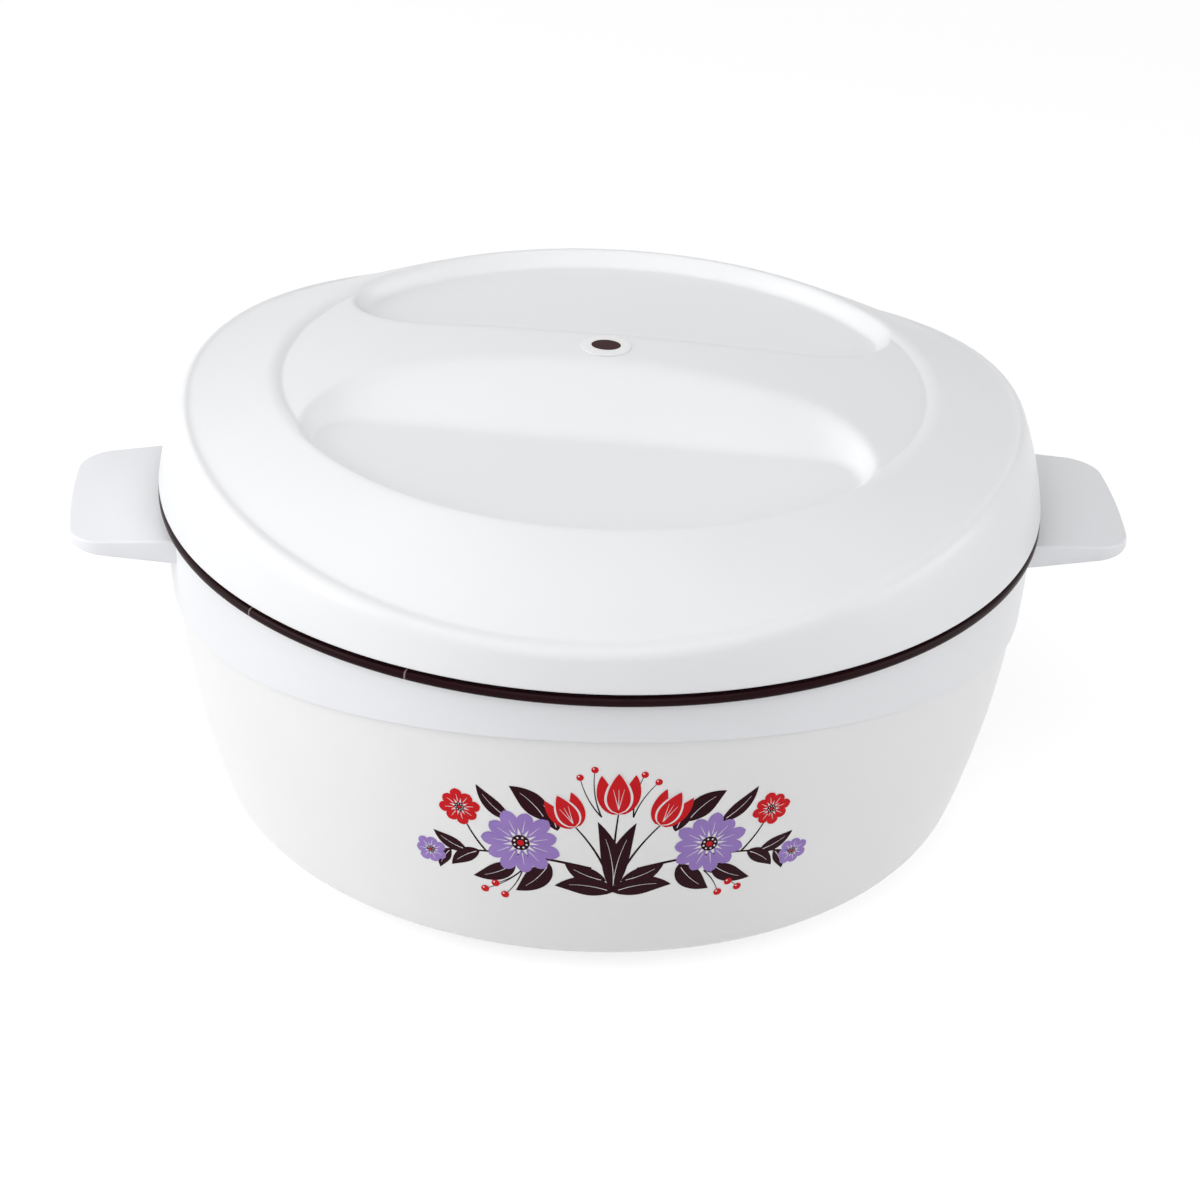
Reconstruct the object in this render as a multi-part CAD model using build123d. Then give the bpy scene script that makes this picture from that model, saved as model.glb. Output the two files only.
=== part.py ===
from build123d import *
from math import cos, hypot, pi, radians, sin, sqrt, tan
import os

# Insulated serving casserole for flat breads, in millimetres, +Z up.
# The origin is the centre of the foot, on the surface that it stands on, and the handles lie along X.

# ---------------------------------------------------------------- outer bowl
bowl_mouth_radius = 115.0
foot_radius = 70.0            # outer edge of the flat foot
foot_width = 9.0              # radial width of the flat foot
foot_height = 2.0             # how far the middle of the base is lifted
heel_inset = 14.0             # where the side wall starts, inside the mouth's radius
heel_height = 9.0
waist_inset = 4.6             # a point half way up the side wall, inside the mouth's radius
waist_height = 44.0
bowl_wall = 2.4
heel_rounding = 9.0
belly_drop = 2.7              # how far the underside bulges below a straight cone

# ---------------------------------------------------------------- collar with its two handles
body_height = 91.1            # top of the collar, under the trim ring
collar_proud = 1.1            # step between the bowl and the collar
collar_wall = 2.2
collar_depth_front = 11.1     # from the collar's top to its lower edge, front and back
collar_depth_side = 25.6      # and under the handles
collar_flange = 2.0           # inward flange that the liner bowl hangs on
handle_length = 26.4          # how far a handle reaches out from the bowl's mouth
handle_width_root = 60.0
handle_width_tip = 53.0
handle_corner = 7.5
handle_run_in = 6.0           # the tab is drawn on this far inside the wall, which cuts it off
handle_tip_bow = 1.6          # how far the tip bows out
handle_top_drop = 1.8         # top face at the root, below the collar's top
handle_slope = 4.0            # degrees, falling outwards
handle_depth_root = 7.0
handle_depth_tip = 2.9
handle_wall = 2.2
handle_edge_rounding = 1.0

# ---------------------------------------------------------------- liner bowl
insulation_width = 15.0       # between the liner's mouth and the bowl's, measured along a radius
liner_floor_height = 20.6     # inside floor, above the surface that the bowl stands on
liner_taper = 8.0             # the floor's radius is smaller than the mouth's by this much
liner_sheet = 0.5
liner_corner = 16.0
liner_flange_inset = 4.0      # edge of the liner's flange, inside the bowl's mouth

# ---------------------------------------------------------------- trim ring
ring_proud = 1.9              # beyond the collar
ring_height = 2.6
ring_bore_step = 3.0          # the ring's bore is wider than the liner's mouth, on the radius
ring_bead = 1.1               # rounding of the visible bead
ring_flange_clearance = 0.2   # radial, round the liner's flange

# ---------------------------------------------------------------- lid cover
lid_turn = -10.2              # degrees, the grip against the handles
lid_gap = 0.9                 # shadow gap between the ring and the skirt
skirt_waist_inset = 4.0       # the skirt leans in by this much half way up
skirt_top_inset = 12.4        # and by this much at the top of its curve
shoulder_front = 11.3         # height of the shoulder above the skirt's foot, across the grip
shoulder_side = 24.3          # and in line with the grip
skirt_spare = 11.7            # how far the skirt's curve is drawn on above the shoulder
shoulder_rounding = 4.0
crease_front_inset = 5.7      # where the dome leaves the shoulder, inside the skirt's foot
crease_side_inset = 8.8
dome_width = 30.5             # from the skirt's foot in to the circle of the scoops and the grip's ends
dome_rise = 29.0              # height of the scoops' outer rim above the skirt's foot
dome_side_dip = 1.4           # how much lower the dome meets the grip's ends
crown_draft = 1.6             # radial width of the small step at the grip's ends
lid_wall = 2.4

# ---------------------------------------------------------------- grip and finger scoops
grip_rise = 38.3              # top of the grip above the skirt's foot
grip_arch_radius = 385.0      # the grip's top is a patch of a ball of this radius
scoop_floor = 24.8            # above the skirt's foot
scoop_floor_inset = 3.1       # scoop's outer wall at its floor, inside the crown's circle
scoop_rim_inset = 0.9         # and at its rim
scoop_chord = 29.6            # half the distance between the two scoop floors
flank_slope = 32.7            # degrees, the sides of the grip
scoop_floor_corner = 12.0
scoop_top_corner = 30.2

# ---------------------------------------------------------------- lid liner
liner_plate = 2.0
plug_clearance = 1.1          # radial, lid liner inside the bowl's liner
plug_depth = 7.5              # below the ring's top
lid_seat_clearance = 0.25     # lid liner inside the skirt
lid_foam_clearance = 0.15     # foam inside the cover

# ---------------------------------------------------------------- foam fill plugs and badge
fill_plug_radius = 7.0
fill_plug_head = 10.0
fill_plug_head_thickness = 1.2
fill_plug_stem = 5.0
badge_radius = 6.65
badge_thickness = 0.3
badge_glue = 0.05

# ---------------------------------------------------------------- heights and radii worked out from these
heel_radius = bowl_mouth_radius - heel_inset
waist_radius = bowl_mouth_radius - waist_inset
handle_reach = bowl_mouth_radius + handle_length
collar_edge_front = body_height - collar_depth_front
collar_edge_side = body_height - collar_depth_side
liner_mouth_radius = bowl_mouth_radius - insulation_width
liner_floor_radius = liner_mouth_radius - liner_taper
liner_flange_radius = bowl_mouth_radius - liner_flange_inset
ring_radius = bowl_mouth_radius + collar_proud + ring_proud
ring_bore_radius = liner_mouth_radius + ring_bore_step
ring_base = body_height
ring_top = ring_base + ring_height
skirt_radius = ring_radius
skirt_foot = ring_top + lid_gap
skirt_rise = shoulder_side + skirt_spare
crease_front_radius = skirt_radius - crease_front_inset
crease_side_radius = skirt_radius - crease_side_inset
crown_radius = skirt_radius - dome_width
scoop_floor_radius = crown_radius - scoop_floor_inset
scoop_rim_radius = crown_radius - scoop_rim_inset
rim_circle_z = skirt_foot + dome_rise
floor_z = skirt_foot + scoop_floor
grip_top_z = skirt_foot + grip_rise
plug_radius = liner_mouth_radius - plug_clearance
above = body_height + 200.0


def arc_height(x, low, high, reach):
    """Height at x of the circular arc that is at low on the axis and at high a distance reach from it."""
    rise = high - low
    radius = (reach**2 + rise**2) / (2 * rise)
    depth = sqrt(radius**2 - x**2)
    return low + radius - (depth if rise > 0 else -depth)


def turned(edges):
    """Solid of revolution about Z of a closed outline drawn as radius and height."""
    return revolve(Plane.XZ * make_face(edges), axis=Axis.Z)


def wall_radius(z):
    """Outer radius of the bowl's side wall, on the circle through its heel, waist and mouth."""
    (x1, y1), (x2, y2), (x3, y3) = (
        (heel_radius, heel_height),
        (waist_radius, waist_height),
        (bowl_mouth_radius, body_height),
    )
    a = 2 * (x1 * (y2 - y3) + x2 * (y3 - y1) + x3 * (y1 - y2))
    cx = ((x1**2 + y1**2) * (y2 - y3) + (x2**2 + y2**2) * (y3 - y1) + (x3**2 + y3**2) * (y1 - y2)) / a
    cy = ((x1**2 + y1**2) * (x3 - x2) + (x2**2 + y2**2) * (x1 - x3) + (x3**2 + y3**2) * (x2 - x1)) / a
    radius = hypot(x1 - cx, y1 - cy)
    return cx + sqrt(radius**2 - (z - cy) ** 2)


def wall_arc(offset, z_low, z_high):
    """Arc of the side wall between two heights, moved outwards by offset."""
    z_mid = (z_low + z_high) / 2
    return ThreePointArc(
        (wall_radius(z_low) + offset, z_low),
        (wall_radius(z_mid) + offset, z_mid),
        (wall_radius(z_high) + offset, z_high),
    )


def bowl_form(inset):
    """Bowl filled solid, with its outside moved inwards by inset."""
    heel = heel_height + inset * 0.6
    top = body_height - collar_flange
    heel_point = (wall_radius(heel) - inset, heel)
    foot_point = (foot_radius - inset / 2, inset)
    mid = (
        (heel_point[0] + foot_point[0]) / 2 + belly_drop * 0.35,
        (heel_point[1] + foot_point[1]) / 2 - belly_drop * 0.9,
    )
    side = wall_arc(-inset, heel, top)
    outline = [
        Line((0, inset), foot_point),
        ThreePointArc(foot_point, mid, heel_point),
        side,
        Line(side @ 1, (0, top)),
        Line((0, top), (0, inset)),
    ]
    face = make_face(outline)
    heel_vertices = [v for v in face.vertices() if abs(v.Y - heel) < 0.01 and v.X > foot_radius]
    face = fillet(heel_vertices, heel_rounding - inset)
    return revolve(Plane.XZ * face, axis=Axis.Z)


def above_collar_edge():
    """Block of space above the collar's arched lower edge."""
    reach = bowl_mouth_radius + collar_proud
    far = handle_reach
    low = collar_edge_front
    side = collar_edge_side
    edge = ThreePointArc(
        (-far, arc_height(far, low, side, reach)),
        (0, low),
        (far, arc_height(far, low, side, reach)),
    )
    outline = [
        edge,
        Line(edge @ 1, (far, above)),
        Line((far, above), (-far, above)),
        Line((-far, above), edge @ 0),
    ]
    return extrude(Plane.XZ * make_face(outline), far, both=True)


def collar_band():
    """Upright band of the collar, cut along its arched lower edge."""
    low = collar_edge_side - bowl_wall
    outer = wall_arc(collar_proud, low, body_height)
    inner = wall_arc(collar_proud - collar_wall, low, body_height)
    band = turned([outer, Line(outer @ 1, inner @ 1), inner, Line(inner @ 0, outer @ 0)])
    return band & above_collar_edge()


def handle():
    """Tab handle on the +X side: a sloping plate with a rim below it, open underneath."""
    root = bowl_mouth_radius - collar_proud
    root_half = handle_width_root / 2
    tip_half = handle_width_tip / 2
    corner_x = handle_reach - handle_tip_bow
    start = root - handle_run_in
    plan = make_face([
        Line((start, -root_half), (corner_x, -tip_half)),
        ThreePointArc((corner_x, -tip_half), (handle_reach, 0), (corner_x, tip_half)),
        Line((corner_x, tip_half), (start, root_half)),
        Line((start, root_half), (start, -root_half)),
    ])
    tip_corners = [v for v in plan.vertices() if v.X > corner_x - 0.01]
    plan = fillet(tip_corners, handle_corner)
    top_root = body_height - handle_top_drop
    top_tip = top_root - (handle_reach - root) * tan(radians(handle_slope))
    side = Polyline(
        (start, top_root + handle_run_in * tan(radians(handle_slope))),
        (handle_reach, top_tip),
        (handle_reach, top_tip - handle_depth_tip),
        (start, top_root - handle_depth_root),
        close=True,
    )
    side_block = extrude(Plane.XZ * make_face(side), handle_width_root, both=True)
    tab = extrude(plan, above) & side_block
    rim_edges = [e for e in tab.edges() if e.bounding_box().min.X > start + 0.01]
    tab = fillet(rim_edges, handle_edge_rounding)
    hollow_plan = offset(plan, -handle_wall)
    under = Polyline(
        (0, top_root + root * tan(radians(handle_slope)) - handle_wall),
        (handle_reach, top_tip - handle_wall),
        (handle_reach, 0),
        (0, 0),
        close=True,
    )
    under_block = extrude(Plane.XZ * make_face(under), handle_width_root, both=True)
    return tab - (extrude(hollow_plan, above) & under_block)


def handle_collar():
    """Band, inward flange and the two handles, moulded in one piece."""
    flange_low = body_height - collar_flange
    inner = liner_mouth_radius + liner_sheet
    flange = Pos(0, 0, flange_low + collar_flange / 2) * (
        Cylinder(wall_radius(body_height), collar_flange) - Cylinder(inner, collar_flange)
    )
    inside = turned([
        Line((0, 0), (bowl_mouth_radius, 0)),
        Line((bowl_mouth_radius, 0), (wall_radius(collar_edge_side), collar_edge_side)),
        wall_arc(0, collar_edge_side, body_height),
        Line((wall_radius(body_height), body_height), (0, body_height)),
        Line((0, body_height), (0, 0)),
    ])
    one_handle = handle() - inside
    return collar_band() + flange + one_handle + Rot(0, 0, 180) * one_handle


def outer_bowl():
    """Outer shell with a foot, rebated at the top for the collar and holed for the foam plug."""
    shell = bowl_form(0) - bowl_form(bowl_wall)
    recess = Pos(0, 0, foot_height / 2) * Cylinder(foot_radius - foot_width, foot_height)
    lift = Pos(0, 0, bowl_wall + foot_height / 2) * Cylinder(
        foot_radius - foot_width + bowl_wall, foot_height
    )
    head_seat = Pos(0, 0, foot_height + fill_plug_head_thickness / 2) * Cylinder(
        fill_plug_head, fill_plug_head_thickness
    )
    hole = Pos(0, 0, foot_height + bowl_wall / 2) * Cylinder(fill_plug_radius, bowl_wall)
    return shell + lift - recess - head_seat - hole - collar_band()


def liner_profile(inset):
    """Outline of the liner bowl's cavity, grown outwards by inset, up to the flange."""
    floor = liner_floor_height - inset
    top = body_height + liner_sheet
    face = make_face(Polyline(
        (0, floor),
        (liner_floor_radius + inset, floor),
        (liner_mouth_radius + inset, top - liner_corner),
        (liner_mouth_radius + inset, top),
        (0, top),
        close=True,
    ))
    corner = [v for v in face.vertices() if abs(v.Y - floor) < 0.01 and v.X > 1]
    return fillet(corner, liner_corner + inset)


def liner_form(inset):
    return revolve(Plane.XZ * liner_profile(inset), axis=Axis.Z)


def inner_bowl():
    """Thin liner bowl with a flat flange that lies on the collar."""
    flange = Pos(0, 0, body_height + liner_sheet / 2) * Cylinder(liner_flange_radius, liner_sheet)
    return liner_form(liner_sheet) + flange - liner_form(0)


def bowl_plug():
    """Stopper of the foam filling hole, pressed in from below."""
    head = Pos(0, 0, foot_height + fill_plug_head_thickness / 2) * Cylinder(
        fill_plug_head, fill_plug_head_thickness
    )
    stem_low = foot_height + fill_plug_head_thickness
    stem = Pos(0, 0, stem_low + fill_plug_stem / 2) * Cylinder(fill_plug_radius, fill_plug_stem)
    return head + stem


def bowl_foam():
    """Insulating foam that fills the space between the two bowls."""
    filled = bowl_form(bowl_wall)
    lift = Pos(0, 0, bowl_wall + foot_height / 2) * Cylinder(
        foot_radius - foot_width + bowl_wall, foot_height
    )
    return filled - lift - liner_form(liner_sheet) - bowl_plug()


def rim_ring():
    """Coloured trim ring that clamps the liner's flange and carries the lid."""
    flange_top = body_height + liner_sheet
    recess_radius = liner_flange_radius + ring_flange_clearance
    face = make_face(Polyline(
        (ring_bore_radius, flange_top),
        (recess_radius, flange_top),
        (recess_radius, ring_base),
        (ring_radius, ring_base),
        (ring_radius, ring_top),
        (ring_bore_radius, ring_top),
        close=True,
    ))
    bead = [v for v in face.vertices() if v.X > ring_radius - 0.01]
    return revolve(Plane.XZ * fillet(bead, ring_bead), axis=Axis.Z)


# ---------------------------------------------------------------- lid, drawn with the grip along X

def skirt_form(inset):
    """Skirt filled solid, its top cut along an arch and rounded into a shoulder."""
    top = skirt_foot + skirt_rise
    side = ThreePointArc(
        (skirt_radius - inset, skirt_foot),
        (skirt_radius - skirt_waist_inset - inset, skirt_foot + skirt_rise / 2),
        (skirt_radius - skirt_top_inset - inset, top),
    )
    drum = turned([
        Line((0, skirt_foot), side @ 0),
        side,
        Line(side @ 1, (0, top)),
        Line((0, top), (0, skirt_foot)),
    ])
    far = skirt_radius + 10
    low = skirt_foot + shoulder_front - inset
    high = skirt_foot + shoulder_side - inset
    reach = crease_side_radius
    arch = ThreePointArc(
        (-far, arc_height(far, low, high, reach)),
        (0, low),
        (far, arc_height(far, low, high, reach)),
    )
    cutter = extrude(
        Plane.XZ * make_face([
            arch,
            Line(arch @ 1, (far, above)),
            Line((far, above), (-far, above)),
            Line((-far, above), arch @ 0),
        ]),
        far,
        both=True,
    )
    drum = drum - cutter
    shoulder = [
        e for e in drum.edges()
        if e.bounding_box().max.Z > skirt_foot + shoulder_front - inset - 1
        and hypot((e @ 0.3).X, (e @ 0.3).Y) > crown_radius
        and e.length > 2 * skirt_rise
    ]
    return fillet(shoulder, shoulder_rounding - inset * 0.8)


def crease_point(angle, out, inset):
    """Point of the crease between dome and shoulder, carried out along the dome's slope."""
    across = cos(angle) ** 2
    radius = crease_side_radius + (crease_front_radius - crease_side_radius) * (1 - across)
    low = skirt_foot + shoulder_front
    high = skirt_foot + shoulder_side
    height = arc_height(radius * cos(angle), low, high, crease_side_radius)
    rim_z = rim_circle_z - dome_side_dip * across
    slope = (rim_z - height) / (radius - crown_radius)
    return Vector(
        (radius + out) * cos(angle),
        (radius + out) * sin(angle),
        height - slope * out - inset,
    )


def rim_point(angle, inset):
    """Point of the dome's inner rim, a little lower at the two ends of the grip."""
    height = rim_circle_z - dome_side_dip * cos(angle) ** 2 - inset
    return Vector(crown_radius * cos(angle), crown_radius * sin(angle), height)


def closed_curve(point_at):
    """Closed wire of four smooth quarters through the points of a function of the angle."""
    steps = 6
    quarters = []
    for quarter in range(4):
        start = quarter * pi / 2
        points = [point_at(start + i * pi / 2 / steps) for i in range(steps + 1)]
        nudge = 0.001
        tangents = [
            (point_at(a + nudge) - point_at(a - nudge)).normalized() for a in (start, start + pi / 2)
        ]
        quarters.append(Edge.make_spline(points, tangents=tangents))
    return Wire(quarters)


def level_circle(radius, height):
    """Circle in four quarters, so that it joins up with the closed curves."""
    return closed_curve(lambda a: Vector(radius * cos(a), radius * sin(a), height))


def dome_form(inset):
    """Dome between the shoulder and the scoops, ruled from its inner rim down to the crease."""
    carried_out = 1.2 - inset / 4
    sections = [
        level_circle(crown_radius, skirt_foot + 1),
        closed_curve(lambda a: crease_point(a, carried_out, inset)),
        closed_curve(lambda a: rim_point(a, inset)),
        level_circle(crown_radius * 0.6, floor_z - inset - 4),
    ]
    return Solid.make_loft(sections, ruled=True)


def crown_form(inset):
    """Round middle of the lid, whose top is a patch of a large ball."""
    low = skirt_foot + 1
    step_z = rim_circle_z - dome_side_dip - inset
    radius = crown_radius - inset
    drum = turned(Polyline(
        (0, low),
        (radius, low),
        (radius, step_z - 0.4),
        (radius - crown_draft, step_z + crown_draft),
        (radius - crown_draft, above),
        (0, above),
        close=True,
    ))
    arch_radius = grip_arch_radius - inset
    arch_centre = grip_top_z - grip_arch_radius
    return drum & (Pos(0, 0, arch_centre) * Sphere(arch_radius))


def scoop_outline(height, grow):
    """Outline of one finger scoop at a height, grown outwards by grow: an arc cut off by a chord."""
    up = height - floor_z
    lean = (scoop_rim_radius - scoop_floor_radius) / (rim_circle_z - floor_z)
    radius = scoop_floor_radius + up * lean + grow
    chord = scoop_chord - up / tan(radians(flank_slope)) - grow / sin(radians(flank_slope))
    share = up / (grip_top_z - floor_z)
    corner = scoop_floor_corner + share * (scoop_top_corner - scoop_floor_corner) + grow
    corner = min(corner, 0.49 * (radius - chord))
    half = sqrt(radius**2 - chord**2)
    face = make_face([
        Line((-half, -chord), (half, -chord)),
        ThreePointArc((half, -chord), (0, -radius), (-half, -chord)),
    ])
    return Pos(0, 0, height) * fillet(face.vertices(), corner)


def scoop(grow):
    """Cutter for the scoop on the -Y side of the grip."""
    low = scoop_outline(floor_z - grow, grow)
    high = scoop_outline(grip_top_z + 1.0, grow)
    return Solid.make_loft([low.wire(), high.wire()], ruled=True)


def lid_form(inset):
    """Whole outside of the lid, filled solid, moved inwards by inset."""
    cutter = scoop(inset)
    body = skirt_form(inset) + dome_form(inset) + crown_form(inset)
    return body - cutter - Rot(0, 0, 180) * cutter


def lid_cover():
    """Outer shell of the lid, with the grip and the two finger scoops."""
    return lid_form(0) - lid_form(lid_wall)


def liner_plate_profile(offset_up):
    """Upper or lower line of the lid's liner: a seat on the ring and a plug that drops into the bowl."""
    seat = ring_top + offset_up
    floor = ring_top - plug_depth + offset_up
    radius = plug_radius - offset_up
    return seat, floor, radius


def lid_liner():
    """Inner plate of the lid, which rests on the ring and reaches into the bowl's mouth."""
    outer = skirt_radius - lid_wall - lid_seat_clearance
    seat, floor, radius = liner_plate_profile(0)
    seat_up, floor_up, radius_up = liner_plate_profile(liner_plate)
    plate = turned(Polyline(
        (0, floor),
        (radius, floor),
        (radius, seat),
        (outer, seat),
        (outer, seat_up),
        (radius_up, seat_up),
        (radius_up, floor_up),
        (0, floor_up),
        close=True,
    ))
    return plate - lid_plug()


def lid_plug():
    """Stopper of the lid's foam filling hole, pressed in from below."""
    floor = ring_top - plug_depth
    head = Pos(0, 0, floor + fill_plug_head_thickness / 2) * Cylinder(
        fill_plug_head, fill_plug_head_thickness
    )
    stem_low = floor + fill_plug_head_thickness
    stem = Pos(0, 0, stem_low + fill_plug_stem / 2) * Cylinder(fill_plug_radius, fill_plug_stem)
    return head + stem


def lid_foam():
    """Insulating foam between the lid's cover and its liner."""
    seat_up, floor_up, radius_up = liner_plate_profile(liner_plate)
    well = turned(Polyline(
        (0, floor_up),
        (radius_up, floor_up),
        (radius_up, seat_up),
        (skirt_radius, seat_up),
        (skirt_radius, above),
        (0, above),
        close=True,
    ))
    plug_space = Pos(0, 0, (floor_up + skirt_foot) / 2) * Cylinder(radius_up, skirt_foot - floor_up)
    filled = lid_form(lid_wall + lid_foam_clearance)
    return ((filled & well) + plug_space) - lid_plug()


def grip_badge():
    """Thin round badge that follows the arched top of the grip."""
    arch_centre = grip_top_z - grip_arch_radius
    low = grip_arch_radius + badge_glue
    skin = Pos(0, 0, arch_centre) * (Sphere(low + badge_thickness) - Sphere(low))
    disc = Pos(0, 0, grip_top_z) * Cylinder(badge_radius, 10 * badge_thickness)
    return skin & disc


def save(node, shape):
    shape.label = node
    export_step(shape, "parts/" + node + ".step")
    print(node, round(shape.volume, 1))


def main():
    os.makedirs("parts", exist_ok=True)
    save("outer_bowl", outer_bowl())
    save("handle_collar", handle_collar())
    save("inner_bowl", inner_bowl())
    save("bowl_foam", bowl_foam())
    save("bowl_fill_plug", bowl_plug())
    save("rim_ring", rim_ring())
    on_lid = Rot(0, 0, lid_turn)
    save("lid_cover", on_lid * lid_cover())
    save("lid_liner", on_lid * lid_liner())
    save("lid_foam", on_lid * lid_foam())
    save("lid_fill_plug", on_lid * lid_plug())
    save("grip_badge", on_lid * grip_badge())


main()
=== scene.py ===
# %% [markdown]
# # An insulated casserole for flat breads
#
# This is a lesson in modelling a moulded kitchen pot. The pot is a white outer bowl with a foot, a collar
# with two flat handles, a steel bowl inside, a dark trim ring and a lid with a grip between two finger
# scoops. The solid model is already there: it says where every piece lies and how the lid lifts.
# Here each visible piece gets its final skin, with the soft edges of moulded plastic, and its finish.
#
# We start with the solid model. It comes in as a fixed frame, so nothing has to be fitted afterwards.

# %% The fixed frame
from math import atan2, cos, hypot, pi, radians, sin, sqrt, tan

import bpy
import numpy as np
from mathutils import Matrix, Vector


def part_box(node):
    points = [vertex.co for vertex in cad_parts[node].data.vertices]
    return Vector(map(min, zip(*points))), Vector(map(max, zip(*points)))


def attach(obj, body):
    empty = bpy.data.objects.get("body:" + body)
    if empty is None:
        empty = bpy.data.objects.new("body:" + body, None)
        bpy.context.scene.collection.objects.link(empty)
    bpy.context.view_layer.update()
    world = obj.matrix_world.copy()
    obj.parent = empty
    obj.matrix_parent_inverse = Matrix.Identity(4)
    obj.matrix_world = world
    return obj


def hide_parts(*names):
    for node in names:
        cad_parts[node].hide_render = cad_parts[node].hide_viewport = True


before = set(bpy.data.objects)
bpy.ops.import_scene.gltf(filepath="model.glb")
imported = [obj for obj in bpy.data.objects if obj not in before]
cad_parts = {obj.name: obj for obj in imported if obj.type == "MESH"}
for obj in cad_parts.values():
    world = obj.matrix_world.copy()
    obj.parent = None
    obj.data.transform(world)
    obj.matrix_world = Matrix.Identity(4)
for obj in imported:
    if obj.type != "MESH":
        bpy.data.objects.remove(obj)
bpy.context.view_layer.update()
mm = 0.001

# %% [markdown]
# ## Reading sizes from the frame
#
# A good habit is to take a size from the neighbour that the piece has to fit. The ring, the lid and the
# badge give the main radii and heights of the pot, so a change of the solid model carries over to here.
# All lengths below are in millimetres, and they are turned into metres when a mesh is made.

# %% Main sizes, in millimetres
def lowest(node):
    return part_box(node)[0] / mm


def highest(node):
    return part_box(node)[1] / mm


ring_base = lowest("rim_ring").z
ring_top = highest("rim_ring").z
ring_radius = highest("rim_ring").x
skirt_foot = lowest("lid_cover").z
grip_top = highest("lid_cover").z
liner_floor = lowest("inner_bowl").z
liner_flange_radius = highest("inner_bowl").x
liner_top = highest("inner_bowl").z
handle_reach = highest("handle_collar").x
collar_edge_side = lowest("handle_collar").z
lid_liner_radius = highest("lid_liner").x
lid_liner_floor = lowest("lid_liner").z
badge_radius = highest("grip_badge").x
plug_head_radius = highest("bowl_fill_plug").x
lid_turn = radians(-10.2)  # the loose lid is set down a little turned
print("ring from", round(ring_base, 2), "to", round(ring_top, 2), "mm, radius", round(ring_radius, 2))

# %% [markdown]
# ## Working in edit mode
#
# An operator works on everything that is selected, and loading the frame leaves its nodes selected. So
# each piece starts with an empty selection. A new primitive becomes the active object, and gets a name.

# %% Selection and naming
def deselect():
    if bpy.context.object and bpy.context.object.mode != "OBJECT":
        bpy.ops.object.mode_set(mode="OBJECT")
    bpy.ops.object.select_all(action="DESELECT")


def named(name):
    piece = bpy.context.object
    piece.name = name
    piece.data.name = name
    return piece


def only(*pieces):
    deselect()
    for piece in pieces:
        piece.select_set(True)
    bpy.context.view_layer.objects.active = pieces[0]


def edit_all(piece):
    only(piece)
    bpy.ops.object.mode_set(mode="EDIT")
    bpy.ops.mesh.select_mode(type="VERT")
    bpy.ops.mesh.select_all(action="SELECT")


def leave_edit():
    bpy.ops.object.mode_set(mode="OBJECT")


print("selected after loading", len(bpy.context.selected_objects), "objects")

# %% [markdown]
# ## A lathe
#
# Half of this pot is turned: bowl, liner, ring and the underside of the lid are all solids of revolution.
# On a lathe the turner follows a drawn outline. We do the same: a single point is extruded along the
# outline, and the line is spun about the upright axis. Spin leaves a seam and, on the axis, a bundle of
# points, so both are merged, and then the faces are turned outwards.

# %% Lathe
def lathe(name, outline, steps=256):
    """Solid of revolution of a closed outline of (radius, height) in millimetres."""
    deselect()
    bpy.ops.mesh.primitive_plane_add(size=mm)
    piece = named(name)
    bpy.ops.object.mode_set(mode="EDIT")
    bpy.ops.mesh.select_mode(type="VERT")
    bpy.ops.mesh.merge(type="CENTER")
    bpy.ops.transform.translate(value=(outline[0][0] * mm, 0, outline[0][1] * mm))
    for (r0, z0), (r1, z1) in zip(outline, outline[1:]):
        step = ((r1 - r0) * mm, 0, (z1 - z0) * mm)
        bpy.ops.mesh.extrude_vertices_move(TRANSFORM_OT_translate={"value": step})
    bpy.ops.mesh.select_all(action="SELECT")
    bpy.ops.mesh.spin(steps=steps, angle=2 * pi, center=(0, 0, 0), axis=(0, 0, 1))
    bpy.ops.mesh.select_all(action="SELECT")
    bpy.ops.mesh.remove_doubles(threshold=0.004 * mm)
    bpy.ops.mesh.normals_make_consistent(inside=False)
    leave_edit()
    bpy.ops.object.shade_smooth_by_angle(angle=radians(40))
    print(name, len(piece.data.polygons), "faces")
    return piece


# %% [markdown]
# A drawn outline has straight runs, arcs and rounded corners. `arc` samples the circle through three
# points, and `line` and `runs` give straight stretches, cut into steps where the lathe needs more rows.

# %% Arcs and straight runs
def circle_through(p, q, s):
    """Centre and radius of the circle through three points."""
    (x1, y1), (x2, y2), (x3, y3) = p, q, s
    a = 2 * (x1 * (y2 - y3) + x2 * (y3 - y1) + x3 * (y1 - y2))
    s1, s2, s3 = x1 * x1 + y1 * y1, x2 * x2 + y2 * y2, x3 * x3 + y3 * y3
    cx = (s1 * (y2 - y3) + s2 * (y3 - y1) + s3 * (y1 - y2)) / a
    cy = (s1 * (x3 - x2) + s2 * (x1 - x3) + s3 * (x2 - x1)) / a
    return cx, cy, hypot(x1 - cx, y1 - cy)


def arc(start, middle, end, steps=12):
    """Points of the arc from start to end that passes through middle."""
    cx, cy, radius = circle_through(start, middle, end)
    first = atan2(start[1] - cy, start[0] - cx)
    turn = (atan2(end[1] - cy, end[0] - cx) - first + pi) % (2 * pi) - pi
    angles = [first + turn * i / steps for i in range(steps + 1)]
    return [(cx + radius * cos(t), cy + radius * sin(t)) for t in angles]


def line(start, end, steps=1):
    return [tuple(np.array(start) + (np.array(end) - np.array(start)) * i / steps) for i in range(steps + 1)]


def runs(corners, steps):
    """Straight lines from corner to corner, each in its own number of steps."""
    return [line(*ends) for ends in zip(corners, corners[1:], steps)]


quarter = arc((1, 0), (0.8, 0.6), (0, 1), 3)
print("a quarter of a circle", [(round(x, 2), round(y, 2)) for x, y in quarter])

# %% [markdown]
# `drawn` strings such curves together and softens the corner between two of them: it cuts both back by a
# length and bridges the gap with a small curve whose handle is the old corner.

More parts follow.
